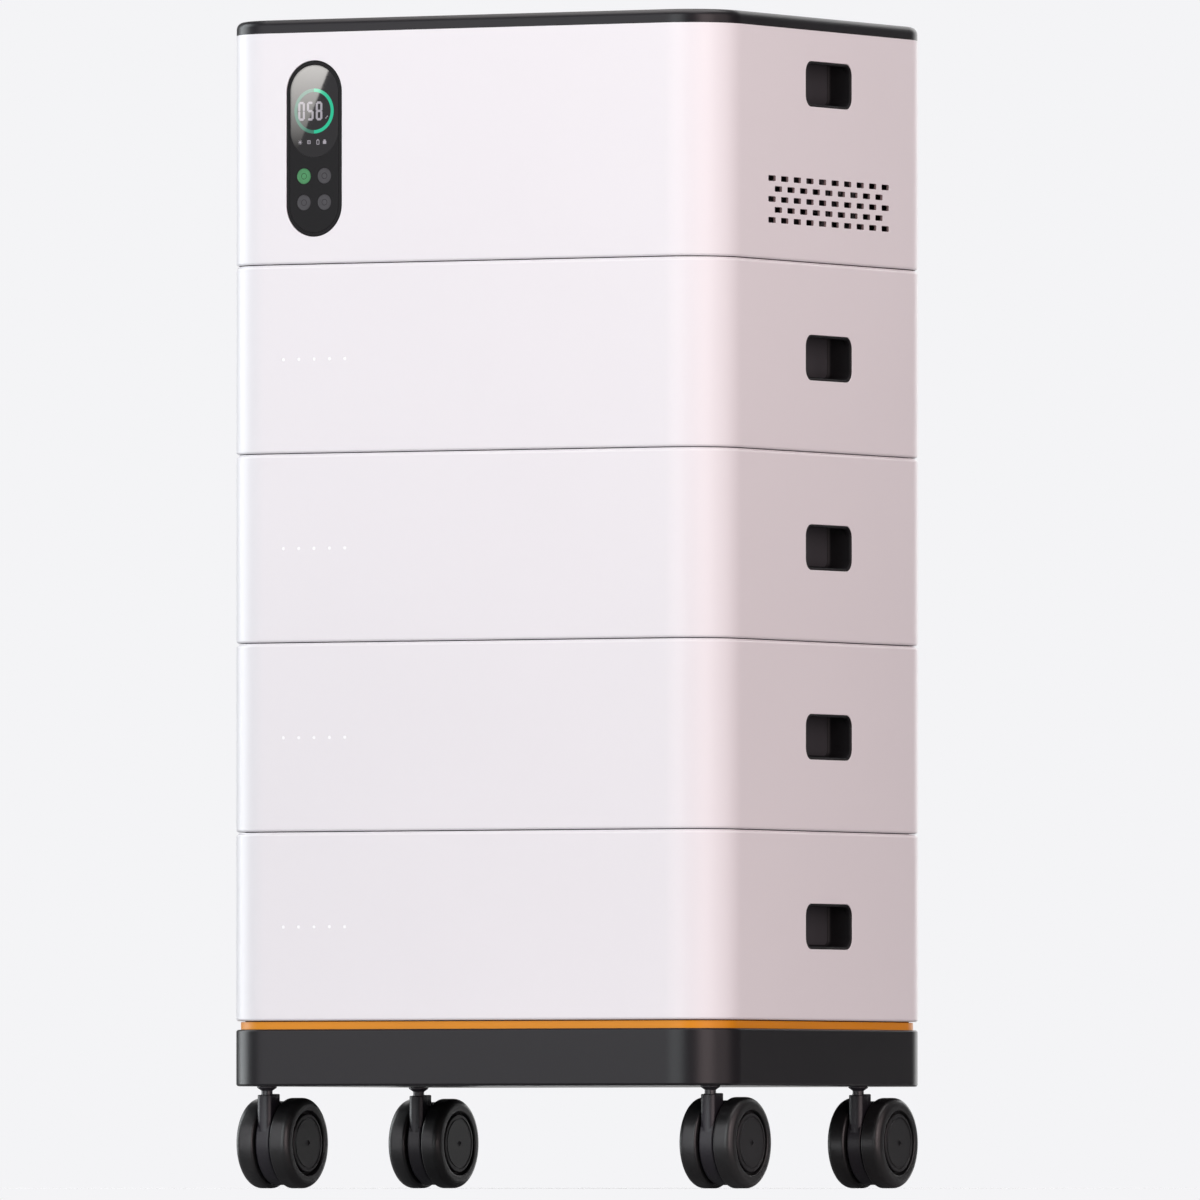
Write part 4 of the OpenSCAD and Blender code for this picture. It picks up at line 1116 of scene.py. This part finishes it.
lightPlan = {"radius": 0.002, "reach": 0.012, "sink": 0.0001, "dome": 0.0005, "collar": 0.003,
             "collarThick": 0.0015}
firstLight = Vector(lightSpots(gripHeights[0])[0])
lightPipe = startRound("lightPipes", "y", firstLight, frontY + lightPlan["sink"],
                       frontY + lightPlan["reach"], lightPlan["radius"], 24)
roundEdges(lightPipe, ringOf([((-1, 0), (1, 2))], "y", frontY + lightPlan["sink"]), lightPlan["dome"], 3)
collar = startRound("collar", "y", firstLight, frontY + cabinet["wall"],
                    frontY + cabinet["wall"] + lightPlan["collarThick"], lightPlan["collar"], 24)
combine(lightPipe, "UNION", collar)
lightMoves = [Vector(spot) - firstLight for level in gripHeights[:4] for spot in lightSpots(level)]
lightPipes = joinCopies("lightPipes", lightPipe, lightMoves)
shadeClean(lightPipes)
outfit(lightPipes, "cabinet", "light_pipe", "status_lights")

# tie plates across the seams at the back, with their screws

tiePlan = {"size": (0.044, 0.060, 0.004), "thick": 0.0015, "flush": 0.0002, "screwAside": 0.013,
           "screwUp": 0.021, "holeFoot": 0.0023, "holeTop": 0.0041, "ease": 0.0004, "headFoot": 0.002,
           "headTop": 0.0038, "shank": 0.009, "hexRadius": 0.0017, "hexDeep": 0.0011}
tieWide, tieTall, tieRound = tiePlan["size"]
tieFace, tieFoot = backY - tiePlan["flush"], backY - tiePlan["flush"] - tiePlan["thick"]
tieCentre = Vector((-cabinet["tieAside"], 0, seams[0]))
tiePlate = roundedBlock("tiePlates", (tieCentre.x - tieWide / 2, tieFoot, tieCentre.z - tieTall / 2),
                        (tieCentre.x + tieWide / 2, tieFace, tieCentre.z + tieTall / 2), "y", tieRound, 6)
roundEdges(tiePlate, atLevel("y", tieFace), tiePlan["ease"], 3)
screwSpots = [tieCentre + Vector((dx * tiePlan["screwAside"], 0, dz * tiePlan["screwUp"]))
              for dx in (-1, 1) for dz in (-1, 1)]
sinks = [startRound("sink", "y", spot, tieFoot - hair, tieFace + hair, tiePlan["holeFoot"], 28,
                    tiePlan["holeTop"])
         for spot in screwSpots]
combine(tiePlate, "DIFFERENCE", joinAll("sinks", sinks))
tieMoves = [(aside * cabinet["tieAside"] - tieCentre.x, 0, level - tieCentre.z) for aside in (-1, 1)
            for level in seams]
tiePlates = joinCopies("tiePlates", tiePlate, tieMoves)
shadeClean(tiePlates)
outfit(tiePlates, "cabinet", "tie_plate_paint", "tie_plates")

screw = startRound("tieScrews", "y", screwSpots[0], tieFoot, tieFace, tiePlan["headFoot"], 28,
                   tiePlan["headTop"])
shank = startRound("shank", "y", screwSpots[0], tieFace - tiePlan["shank"], tieFoot + 2 * hair,
                   tiePlan["headFoot"], 20)
combine(screw, "UNION", shank)
socket = startRound("socket", "y", screwSpots[0], tieFace - tiePlan["hexDeep"], tieFace + past,
                    tiePlan["hexRadius"], 6)
combine(screw, "DIFFERENCE", socket)
roundEdges(screw, atLevel("y", tieFace), 0.0002, 2)
screwMoves = [Vector(move) + spot - screwSpots[0] for move in tieMoves for spot in screwSpots]
tieScrews = joinCopies("tieScrews", screw, screwMoves)
shadeClean(tieScrews)
outfit(tieScrews, "cabinet", "dark_steel", "tie_screws")
print("tie plates and screws made")

wheelPlan = {
    "radius": 0.048,
    "width": 0.022,
    "gap": 0.020,
    "outerShoulder": 0.008,
    "innerShoulder": 0.003,
    "recess": 0.0345,
    "recessDeep": 0.006,
    "recessRim": 0.0012,
    "webInner": 0.013,
    "webOuter": 0.038,
    "webDeep": 0.007,
    "hub": 0.010,
    "hubProud": 0.00145,
    "bore": 0.00405,
    "capRadius": 0.031,
    "capThick": 0.0054,
    "capEdge": 0.0012,
    "ring": (0.0255, 0.0280),
    "ringDeep": 0.0006,
    "ringSlope": 0.0003,
    "dimple": 0.003,
    "dimpleDeep": 0.0005,
    "slit": (0.0046, 0.0010, 0.0006),
}


def ringAt(level, radius, slack=0.0004):
    # edges that run round the X axis at one place along it and one distance from it
    def test(end, otherEnd):
        return all(abs(p.x - level) < 1e-5 and abs(math.hypot(p.y, p.z) - radius) < slack
                   for p in (end, otherEnd))
    return test


def endFace(side, level):
    return lambda centre, normal: normal.x * side > 0.9 and abs(centre.x - level) < 1e-5 and \
        math.hypot(centre.y, centre.z) < 0.001


def makeWheel(plan):
    # one wheel on the X axis, its inner face at x = 0 and its hub cap side towards +X
    wheel = startRound("wheel", "x", (0, 0, 0), 0, plan["width"], plan["radius"])
    insetAndPush(wheel, endFace(1, plan["width"]), plan["radius"] - plan["recess"],
                 (-plan["recessDeep"], 0, 0))
    insetAndPush(wheel, endFace(-1, 0), plan["radius"] - plan["webOuter"], (plan["webDeep"], 0, 0))
    insetAndPush(wheel, endFace(-1, plan["webDeep"]), plan["webOuter"] - plan["webInner"],
                 (-plan["webDeep"], 0, 0))
    insetAndPush(wheel, endFace(-1, 0), plan["webInner"] - plan["hub"], (-plan["hubProud"], 0, 0))
    roundEdges(wheel, ringAt(plan["width"], plan["radius"]), plan["outerShoulder"], 8)
    roundEdges(wheel, ringAt(0, plan["radius"]), plan["innerShoulder"], 5)
    roundEdges(wheel, ringAt(plan["width"], plan["recess"]), plan["recessRim"], 4)
    combine(wheel, "DIFFERENCE", startRound("bore", "x", (0, 0, 0), -0.003, 0.03, plan["bore"], 32))
    return shadeClean(wheel)


def makeHubCap(plan):
    start = plan["width"] - plan["recessDeep"]
    face = start + plan["capThick"]
    cap = startRound("hubCap", "x", (0, 0, 0), start, face, plan["capRadius"])
    inner, outer = plan["ring"]
    insetAndPush(cap, endFace(1, face), plan["capRadius"] - outer)
    slantedStep(cap, endFace(1, face), plan["ringSlope"], (-plan["ringDeep"], 0, 0))
    insetAndPush(cap, endFace(1, face - plan["ringDeep"]), outer - inner - 2 * plan["ringSlope"])
    slantedStep(cap, endFace(1, face - plan["ringDeep"]), plan["ringSlope"], (plan["ringDeep"], 0, 0))
    roundEdges(cap, ringAt(face, plan["capRadius"]), plan["capEdge"], 4)
    dimple = startRound("dimple", "x", (0, 0, 0), face - plan["dimpleDeep"], face + 2 * past, plan["dimple"],
                        40)
    long, tall, deep = plan["slit"]
    slit = startBlock("slit", (face - plan["dimpleDeep"] - deep, -long, -tall), (face, long, tall))
    combine(cap, "DIFFERENCE", dimple, slit)
    return shadeClean(cap)


wheel = makeWheel(wheelPlan)
hubCap = makeHubCap(wheelPlan)
for corner in corners:
    low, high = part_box(f"{corner}_axle")
    hub = (low + high) / 2
    for side, sign in (("left", -1), ("right", 1)):
        move = (hub.x + sign * wheelPlan["gap"] / 2, hub.y, hub.z)
        turned = 0 if sign < 0 else None
        tyre = copyAt(wheel, f"tyre_{corner}_{side}", move, turned)
        cover = copyAt(hubCap, f"hubCap_{corner}_{side}", move, turned)
        outfit(tyre, f"{corner}_{side}_roller", "wheel_rubber", f"{corner}_wheel_{side}")
        outfit(cover, f"{corner}_{side}_roller", "caster_plastic", finish="hub_cover")
for spare in (wheel, hubCap):
    bpy.data.objects.remove(spare)
print("wheels and hub caps made")

forkPlan = {"disc": 0.0445, "width": 0.017, "trail": casterPlan["trail"], "boss": 0.010, "bossUp": 0.051,
            "bossDown": 0.008, "hoodUp": 0.052, "hoodLong": 0.014, "stemBore": 0.00605, "boreUp": 0.017,
            "axleBore": 0.004, "ease": 0.0011, "discEase": 0.0026, "bossStep": 0.0002}


def makeFork(plan):
    # caster body about its axle at the origin; the stem stands behind it at -Y
    half, stem = plan["width"] / 2, (0, -plan["trail"], 0)
    body = startRound("fork", "x", (0, 0, 0), -half, half, plan["disc"])
    for face in (-half, half):
        roundEdges(body, ringAt(face, plan["disc"]), plan["discEase"], 4)
    bossHalf, hoodHalf = half - plan["bossStep"], half - 2 * plan["bossStep"]
    boss = startRound("boss", "z", stem, plan["bossDown"], plan["bossUp"], plan["boss"], 64)
    combine(boss, "INTERSECT", startBlock("slab", (-bossHalf, -0.06, 0), (bossHalf, 0, 0.06)))
    softenEdges(boss, plan["ease"], 3, 35)
    hood = startBlock("hood", (-hoodHalf, -plan["trail"], 0),
                      (hoodHalf, plan["hoodLong"] - plan["trail"], plan["hoodUp"]))
    softenEdges(hood, plan["ease"], 3, 35)
    combine(body, "UNION", hood, boss)
    stemBore = startRound("stemBore", "z", stem, plan["boreUp"], 0.1, plan["stemBore"], 40)
    axleBore = startRound("axleBore", "x", (0, 0, 0), -0.02, 0.02, plan["axleBore"], 32)
    combine(body, "DIFFERENCE", stemBore, axleBore)
    return shadeClean(body)


fork = makeFork(forkPlan)
for corner in corners:
    low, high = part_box(f"{corner}_axle")
    outfit(copyAt(fork, f"fork_{corner}", (low + high) / 2), f"{corner}_swivel", "caster_plastic",
           f"{corner}_caster_body")
bpy.data.objects.remove(fork)
stems = shadeClean(softenedCopy("casterStems", "caster_stems", 0.0004))
outfit(stems, "cabinet", "black_steel", "caster_stems")
print("caster bodies made")

panelPlan = {
    "cut": (past, 0.01),   # how far cutters stand out of the front, and how far they reach in
    "pill": (0.0666, 0.186),
    "flush": 0.0002,
    "thick": 0.005,
    "edge": 0.0012,
    "rimIn": 0.0036,
    "recess": 0.00222,
    "hairline": 0.00025,
    "fasciaEdge": 0.0003,
    "flange": 0.004,
    "ledge": 0.0015,
    "glassEdge": 0.0002,
    "post": (0.033, 0.060, 0.0025),
    "steps": 32,
}


def uprightPill(name, centreX, centreZ, wide, tall, front, back, steps=32):
    return roundedBlock(name, (centreX - wide / 2, front, centreZ - tall / 2),
                        (centreX + wide / 2, back, centreZ + tall / 2), "y", wide * 0.4995, steps)


panelFront = frontY + panelPlan["flush"]
panelWide, panelTall = panelPlan["pill"]
glassLow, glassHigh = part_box("display_glass")
keyPlan = {"radius": 0.0083, "gap": 0.00015, "edge": 0.0005, "dish": 0.0004, "dishIn": 0.0024,
           "skirt": 0.0055, "lip": 0.0015, "lipFrom": 0.0053, "lipTo": 0.0068, "stem": 0.0025}


def panelCentre(level):
    # the panel's middle face at one level, and not the rings that insets leave round it
    return lambda centre, normal: normal.y < -0.9 and abs(centre.y - level) < 1e-5 and \
        abs(centre.x - displayX) < 1e-4 and abs(centre.z - displayZ) < 1e-4


# the flange behind the wall comes first, and the panel is drawn out of it
grow = panelPlan["flange"]
panel = uprightPill("displayPanel", displayX, displayZ, panelWide + 2 * grow, panelTall + 2 * grow,
                    frontY + cabinet["wall"], frontY + panelPlan["thick"], panelPlan["steps"])
insetAndPush(panel, panelCentre(frontY + cabinet["wall"]), grow,
             (0, panelPlan["flush"] - cabinet["wall"], 0))
roundEdges(panel, atLevel("y", panelFront), panelPlan["edge"], 5)
posts = [startRound("post", "y",
                    (displayX + x * panelPlan["post"][0], 0, displayZ + z * panelPlan["post"][1]),
                    frontY + cabinet["wall"] + past, bezelHigh.y, panelPlan["post"][2], 24)
         for x in (-1, 1) for z in (-1, 1)]
combine(panel, "UNION", *posts)
rimIn, recess = 2 * panelPlan["rimIn"], panelPlan["recess"]
panelCut = (frontY - panelPlan["cut"][0], frontY + panelPlan["cut"][1])
glassX, glassZ = (glassLow.x + glassHigh.x) / 2, (glassLow.z + glassHigh.z) / 2
glassWide, glassTall = glassHigh.x - glassLow.x, glassHigh.z - glassLow.z
ledge = panelPlan["ledge"]
bed = uprightPill("bed", displayX, displayZ, panelWide - rimIn, panelTall - rimIn, panelCut[0],
                  frontY + recess)
window = uprightPill("window", glassX, glassZ, glassWide - 2 * ledge, glassTall - 2 * ledge, *panelCut)
keyHoles = joinAll("keyHoles", [startRound("keyHole", "y", centre, *panelCut,
                                           keyPlan["radius"] + keyPlan["gap"], 64) for centre in keyCentres])
combine(panel, "DIFFERENCE", bed, window, copyAt(keyHoles, "holesAgain"))
# the fascia fills the bed but for a hairline all round
hairline = 2 * panelPlan["hairline"]
fascia = uprightPill("fascia", displayX, displayZ, panelWide - rimIn - hairline,
                     panelTall - rimIn - hairline, panelFront, frontY + recess - 0.00002,
                     panelPlan["steps"])
roundEdges(fascia, atLevel("y", panelFront), panelPlan["fasciaEdge"], 3)
pocket = uprightPill("pocket", glassX, glassZ, glassWide + hair, glassTall + hair, *panelCut)
combine(fascia, "DIFFERENCE", pocket, keyHoles)
panel = joinAll("displayPanel", [panel, fascia])
shadeClean(panel)
outfit(panel, "cabinet", "panel_black", "display_bezel")

glass = uprightPill("displayGlass", glassX, glassZ, glassWide, glassTall, glassLow.y, glassHigh.y,
                    panelPlan["steps"])
roundEdges(glass, atLevel("y", glassLow.y), panelPlan["glassEdge"], 2)
shadeClean(glass)
outfit(glass, "cabinet", "screen_glass", "display_glass")


def keyFace(centre, level):
    return lambda middle, normal: normal.y < -0.9 and abs(middle.y - level) < 1e-5 and \
        math.hypot(middle.x - centre.x, middle.z - centre.z) < 1e-4


for k, (low, high) in enumerate(keyBoxes, start=1):
    centre = keyCentres[k - 1]
    radius, face = keyPlan["radius"], low.y
    key = startRound(f"key{k}", "y", centre, face, frontY + keyPlan["skirt"], radius, 64)
    slantedStep(key, keyFace(centre, face), keyPlan["dishIn"], (0, keyPlan["dish"], 0))
    roundEdges(key, atLevel("y", face), keyPlan["edge"], 3)
    lip = startRound("lip", "y", centre, frontY + keyPlan["lipFrom"], frontY + keyPlan["lipTo"],
                     radius + keyPlan["lip"], 48)
    stem = startRound("stem", "y", centre, frontY + keyPlan["skirt"] - past, high.y, keyPlan["stem"], 24)
    combine(key, "UNION", lip, stem)
    shadeClean(key)
    outfit(key, f"key_{k}", "key_green" if k == 1 else "key_grey", f"display_key_{k}")
print("display panel, glass and keys made")


screenPlan = {
    "thick": 0.00008,
    "sink": 0.00002,
    "ring": (0.0202, 0.0238),
    "digitSize": (0.0080, 0.0200),
    "digitGap": 0.0026,
    "digitAside": -0.0045,
    "stroke": 0.0025,
    "reading": "058",
    "markAside": 0.0152,
    "markDown": 0.0068,
    "iconSpots": (-0.0168, -0.0062, 0.0047, 0.0128),
    "iconDown": 0.0328,
    "iconSize": 0.0050,
}
strokes = {"0": "abcdef", "5": "afgcd", "8": "abcdefg"}


def flatMark(name, x, z, wide, tall, radius=0.0):
    # a thin shape that lies on the glass, placed from the middle of the screen
    front = glassLow.y - screenPlan["thick"]
    low = (glassX + x - wide / 2, front, glassZ + z - tall / 2)
    high = (glassX + x + wide / 2, glassLow.y + screenPlan["sink"], glassZ + z + tall / 2)
    if radius:
        return roundedBlock(name, low, high, "y", radius, 4)
    return startBlock(name, low, high)


def flatRound(name, x, z, radius, sides=64, reach=0.0):
    return startRound(name, "y", (glassX + x, 0, glassZ + z), glassLow.y - screenPlan["thick"] - reach,
                      glassLow.y + screenPlan["sink"] + reach, radius, sides)


def halfRing(name, side):
    # half of the charge ring, right or left of the middle
    inner, outer = screenPlan["ring"]
    ring = flatRound(name, 0, 0, outer, 128)
    combine(ring, "DIFFERENCE", flatRound("hole", 0, 0, inner, 128, 0.001))
    reach, deep = 0.05, 0.01
    left, right = sorted((glassX, glassX + side * reach))
    half = startBlock("half", (left, frontY - deep, glassZ - reach), (right, frontY + deep, glassZ + reach))
    return combine(ring, "INTERSECT", half)


def digit(name, figure, x):
    wide, tall = screenPlan["digitSize"]
    stroke = screenPlan["stroke"]
    reach, rise = wide / 2 - stroke / 2, tall / 2 - stroke / 2
    upright = tall / 2 - stroke * 0.6
    bars = {"a": (0, rise), "g": (0, 0), "d": (0, -rise), "b": (reach, rise / 2), "c": (reach, -rise / 2),
            "f": (-reach, rise / 2), "e": (-reach, -rise / 2)}
    made = []
    for bar in strokes[figure]:
        level = bar in "agd"
        size = (wide - stroke * 1.1, stroke) if level else (stroke, upright)
        made.append(flatMark(name, x + bars[bar][0], bars[bar][1], *size, stroke * 0.42))
    return joinAll(name, made)


def outlineMark(name, x, z, wide, tall, line):
    mark = flatMark(name, x, z, wide, tall, line)
    hole = flatMark("hole", x, z, wide - 2 * line, tall - 2 * line)
    hole.data.transform(Matrix.Translation((0, -glassLow.y, 0)))
    hole.data.transform(Matrix.Scale(8, 4, (0, 1, 0)))
    hole.data.transform(Matrix.Translation((0, glassLow.y, 0)))
    return combine(mark, "DIFFERENCE", hole)


def makeReading(plan):
    step = plan["digitSize"][0] + plan["digitGap"]
    figures = [digit(f"digit{i}", figure, plan["digitAside"] + (i - 1) * step)
               for i, figure in enumerate(plan["reading"])]
    slash = flatMark("slash", 0, 0, 0.0005, 0.0034)
    focus(slash)
    bpy.ops.object.mode_set(mode="EDIT")
    bpy.ops.mesh.select_all(action="SELECT")
    bpy.ops.transform.rotate(value=math.radians(-28), orient_axis="Y",
                             center_override=(glassX, glassLow.y, glassZ))
    bpy.ops.transform.translate(value=(plan["markAside"], 0, -plan["markDown"]))
    dots = [flatRound("dot", plan["markAside"] + s * 0.0011, -plan["markDown"] + s * 0.0009, 0.0005, 16)
            for s in (-1, 1)]
    return joinAll("reading", figures + [slash] + dots)


def makeIcons(plan):
    # sun, mains, battery and load, as plain signs
    sun, mains, cell, load = plan["iconSpots"]
    size, z = plan["iconSize"], -plan["iconDown"]
    signs = [flatRound("sun", sun, z, size * 0.26, 24)]
    for turn in range(8):
        angle = turn * math.pi / 4
        signs.append(flatRound("ray", sun + math.cos(angle) * size * 0.44, z + math.sin(angle) * size * 0.44,
                               size * 0.075, 10))
    signs.append(outlineMark("mains", mains, z, size * 0.8, size * 0.8, size * 0.14))
    signs.append(flatMark("prong", mains, z, size * 0.16, size * 0.4))
    signs.append(outlineMark("cell", cell, z - size * 0.06, size * 0.7, size, size * 0.14))
    signs.append(flatMark("nub", cell, z + size * 0.52, size * 0.3, size * 0.14))
    signs.append(flatMark("load", load, z - size * 0.1, size * 0.8, size * 0.7, size * 0.1))
    signs.append(flatRound("roof", load, z + size * 0.3, size * 0.34, 3))
    return joinAll("icons", signs)


for name, side, finish in (("chargeRingLit", 1, "ring_lit"), ("chargeRingRest", -1, "ring_rest")):
    outfit(shadeClean(halfRing(name, side)), "cabinet", "screen_glass", finish=finish)
outfit(makeReading(screenPlan), "cabinet", "screen_glass", finish="reading")
outfit(makeIcons(screenPlan), "cabinet", "screen_glass", finish="reading")
keySign = {"ring": (0.0028, 0.0033), "thick": 0.00006}
for k, centre in enumerate(keyCentres, start=1):
    floor = keyBoxes[k - 1][0].y + keyPlan["dish"]
    inner, outer = keySign["ring"]
    sign = startRound(f"keySign{k}", "y", centre, floor - keySign["thick"], floor + hair, outer, 40)
    combine(sign, "DIFFERENCE", startRound("hole", "y", centre, floor - past, floor + past, inner, 40))
    outfit(shadeClean(sign), f"key_{k}", "panel_black")
print("display figures made")

# the pieces of the cable bay keep their shapes, with eased edges
bayPieces = {
    "bayLining": ("bay_panel", "cabinet", "bay_plastic", 0.0005),
    "glands": ("cable_glands", "cabinet", "gland_plastic", 0.0003),
    "breakerCase": ("breaker_body", "cabinet", "breaker_grey", 0.0005),
    "breakerToggle": ("breaker_lever", "lever", "lever_black", 0.0004),
    "groundStud": ("earth_stud", "cabinet", "brass", 0.0002),
}
for name, (node, body, slotName, ease) in bayPieces.items():
    outfit(shadeClean(softenedCopy(name, node, ease)), body, slotName, node)
print("cable bay made")

# a small card that the screen mirrors towards the camera, cut to the screen's own outline
glarePlan = {"away": 1.75, "slant": ((-0.1573, 1.1870), (-0.2004, 1.0986)), "arcSteps": 24, "reach": 0.0004,
             "glow": 27.0, "levels": (1.096, 1.186), "foot": 0.02}


def screenOutline(steps):
    # the screen's edge from its top round the left side to its foot
    radius = glassWide / 2 - glarePlan["reach"]
    up, down = glassHigh.z - glassWide / 2, glassLow.z + glassWide / 2
    upper = [math.pi / 2 - math.pi * i / steps for i in range(steps + 1)]
    lower = [math.pi / 2 * i / steps for i in range(steps + 1)]
    return [(glassX + radius * math.sin(turn), up + radius * math.cos(turn)) for turn in upper] + \
        [(glassX - radius * math.cos(turn), down - radius * math.sin(turn)) for turn in lower]


def onCard(x, z):
    # where the sight line that meets the glass at x, z lands after its reflection
    eye = Vector(bpy.context.scene.camera.location)
    spot = Vector((x, glassLow.y, z))
    ray = spot - eye
    ray.y = -ray.y
    return spot + ray * (-glarePlan["away"] / ray.y)


def makeGlareCard(plan):
    (topX, topZ), (footX, footZ) = plan["slant"]
    lean = (topX - footX) / (topZ - footZ)
    kept = [(x, z) for x, z in screenOutline(plan["arcSteps"]) if x < footX + (z - footZ) * lean]
    data = bpy.data.meshes.new("glareCard")
    corners = [onCard(x, z) for x, z in kept]
    data.from_pydata([tuple(corner) for corner in corners], [], [tuple(range(len(corners)))])
    card = bpy.data.objects.new("glareCard", data)
    bpy.context.scene.collection.objects.link(card)
    card.visible_camera = False
    material, finish = startFinish("cardGlow")
    height = finish.node("ShaderNodeSeparateXYZ", None, {"Vector": whereOn(finish)}, output="Z")
    low, high = (onCard(glassX, level).z for level in plan["levels"])
    fade = within(finish, height, low, high, plan["foot"], 1.0)
    glow = finish.node("ShaderNodeEmission", None,
                       {"Color": (1, 0.97, 0.94, 1), "Strength": fade * plan["glow"]})
    finish.node("ShaderNodeOutputMaterial", None, {"Surface": glow})
    data.materials.append(material)


makeGlareCard(glarePlan)

# every CAD node that is still seen takes the finish of its slot
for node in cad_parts.values():
    for place in node.material_slots:
        if place.material and place.material.name in finishes:
            place.material = finishes[place.material.name]
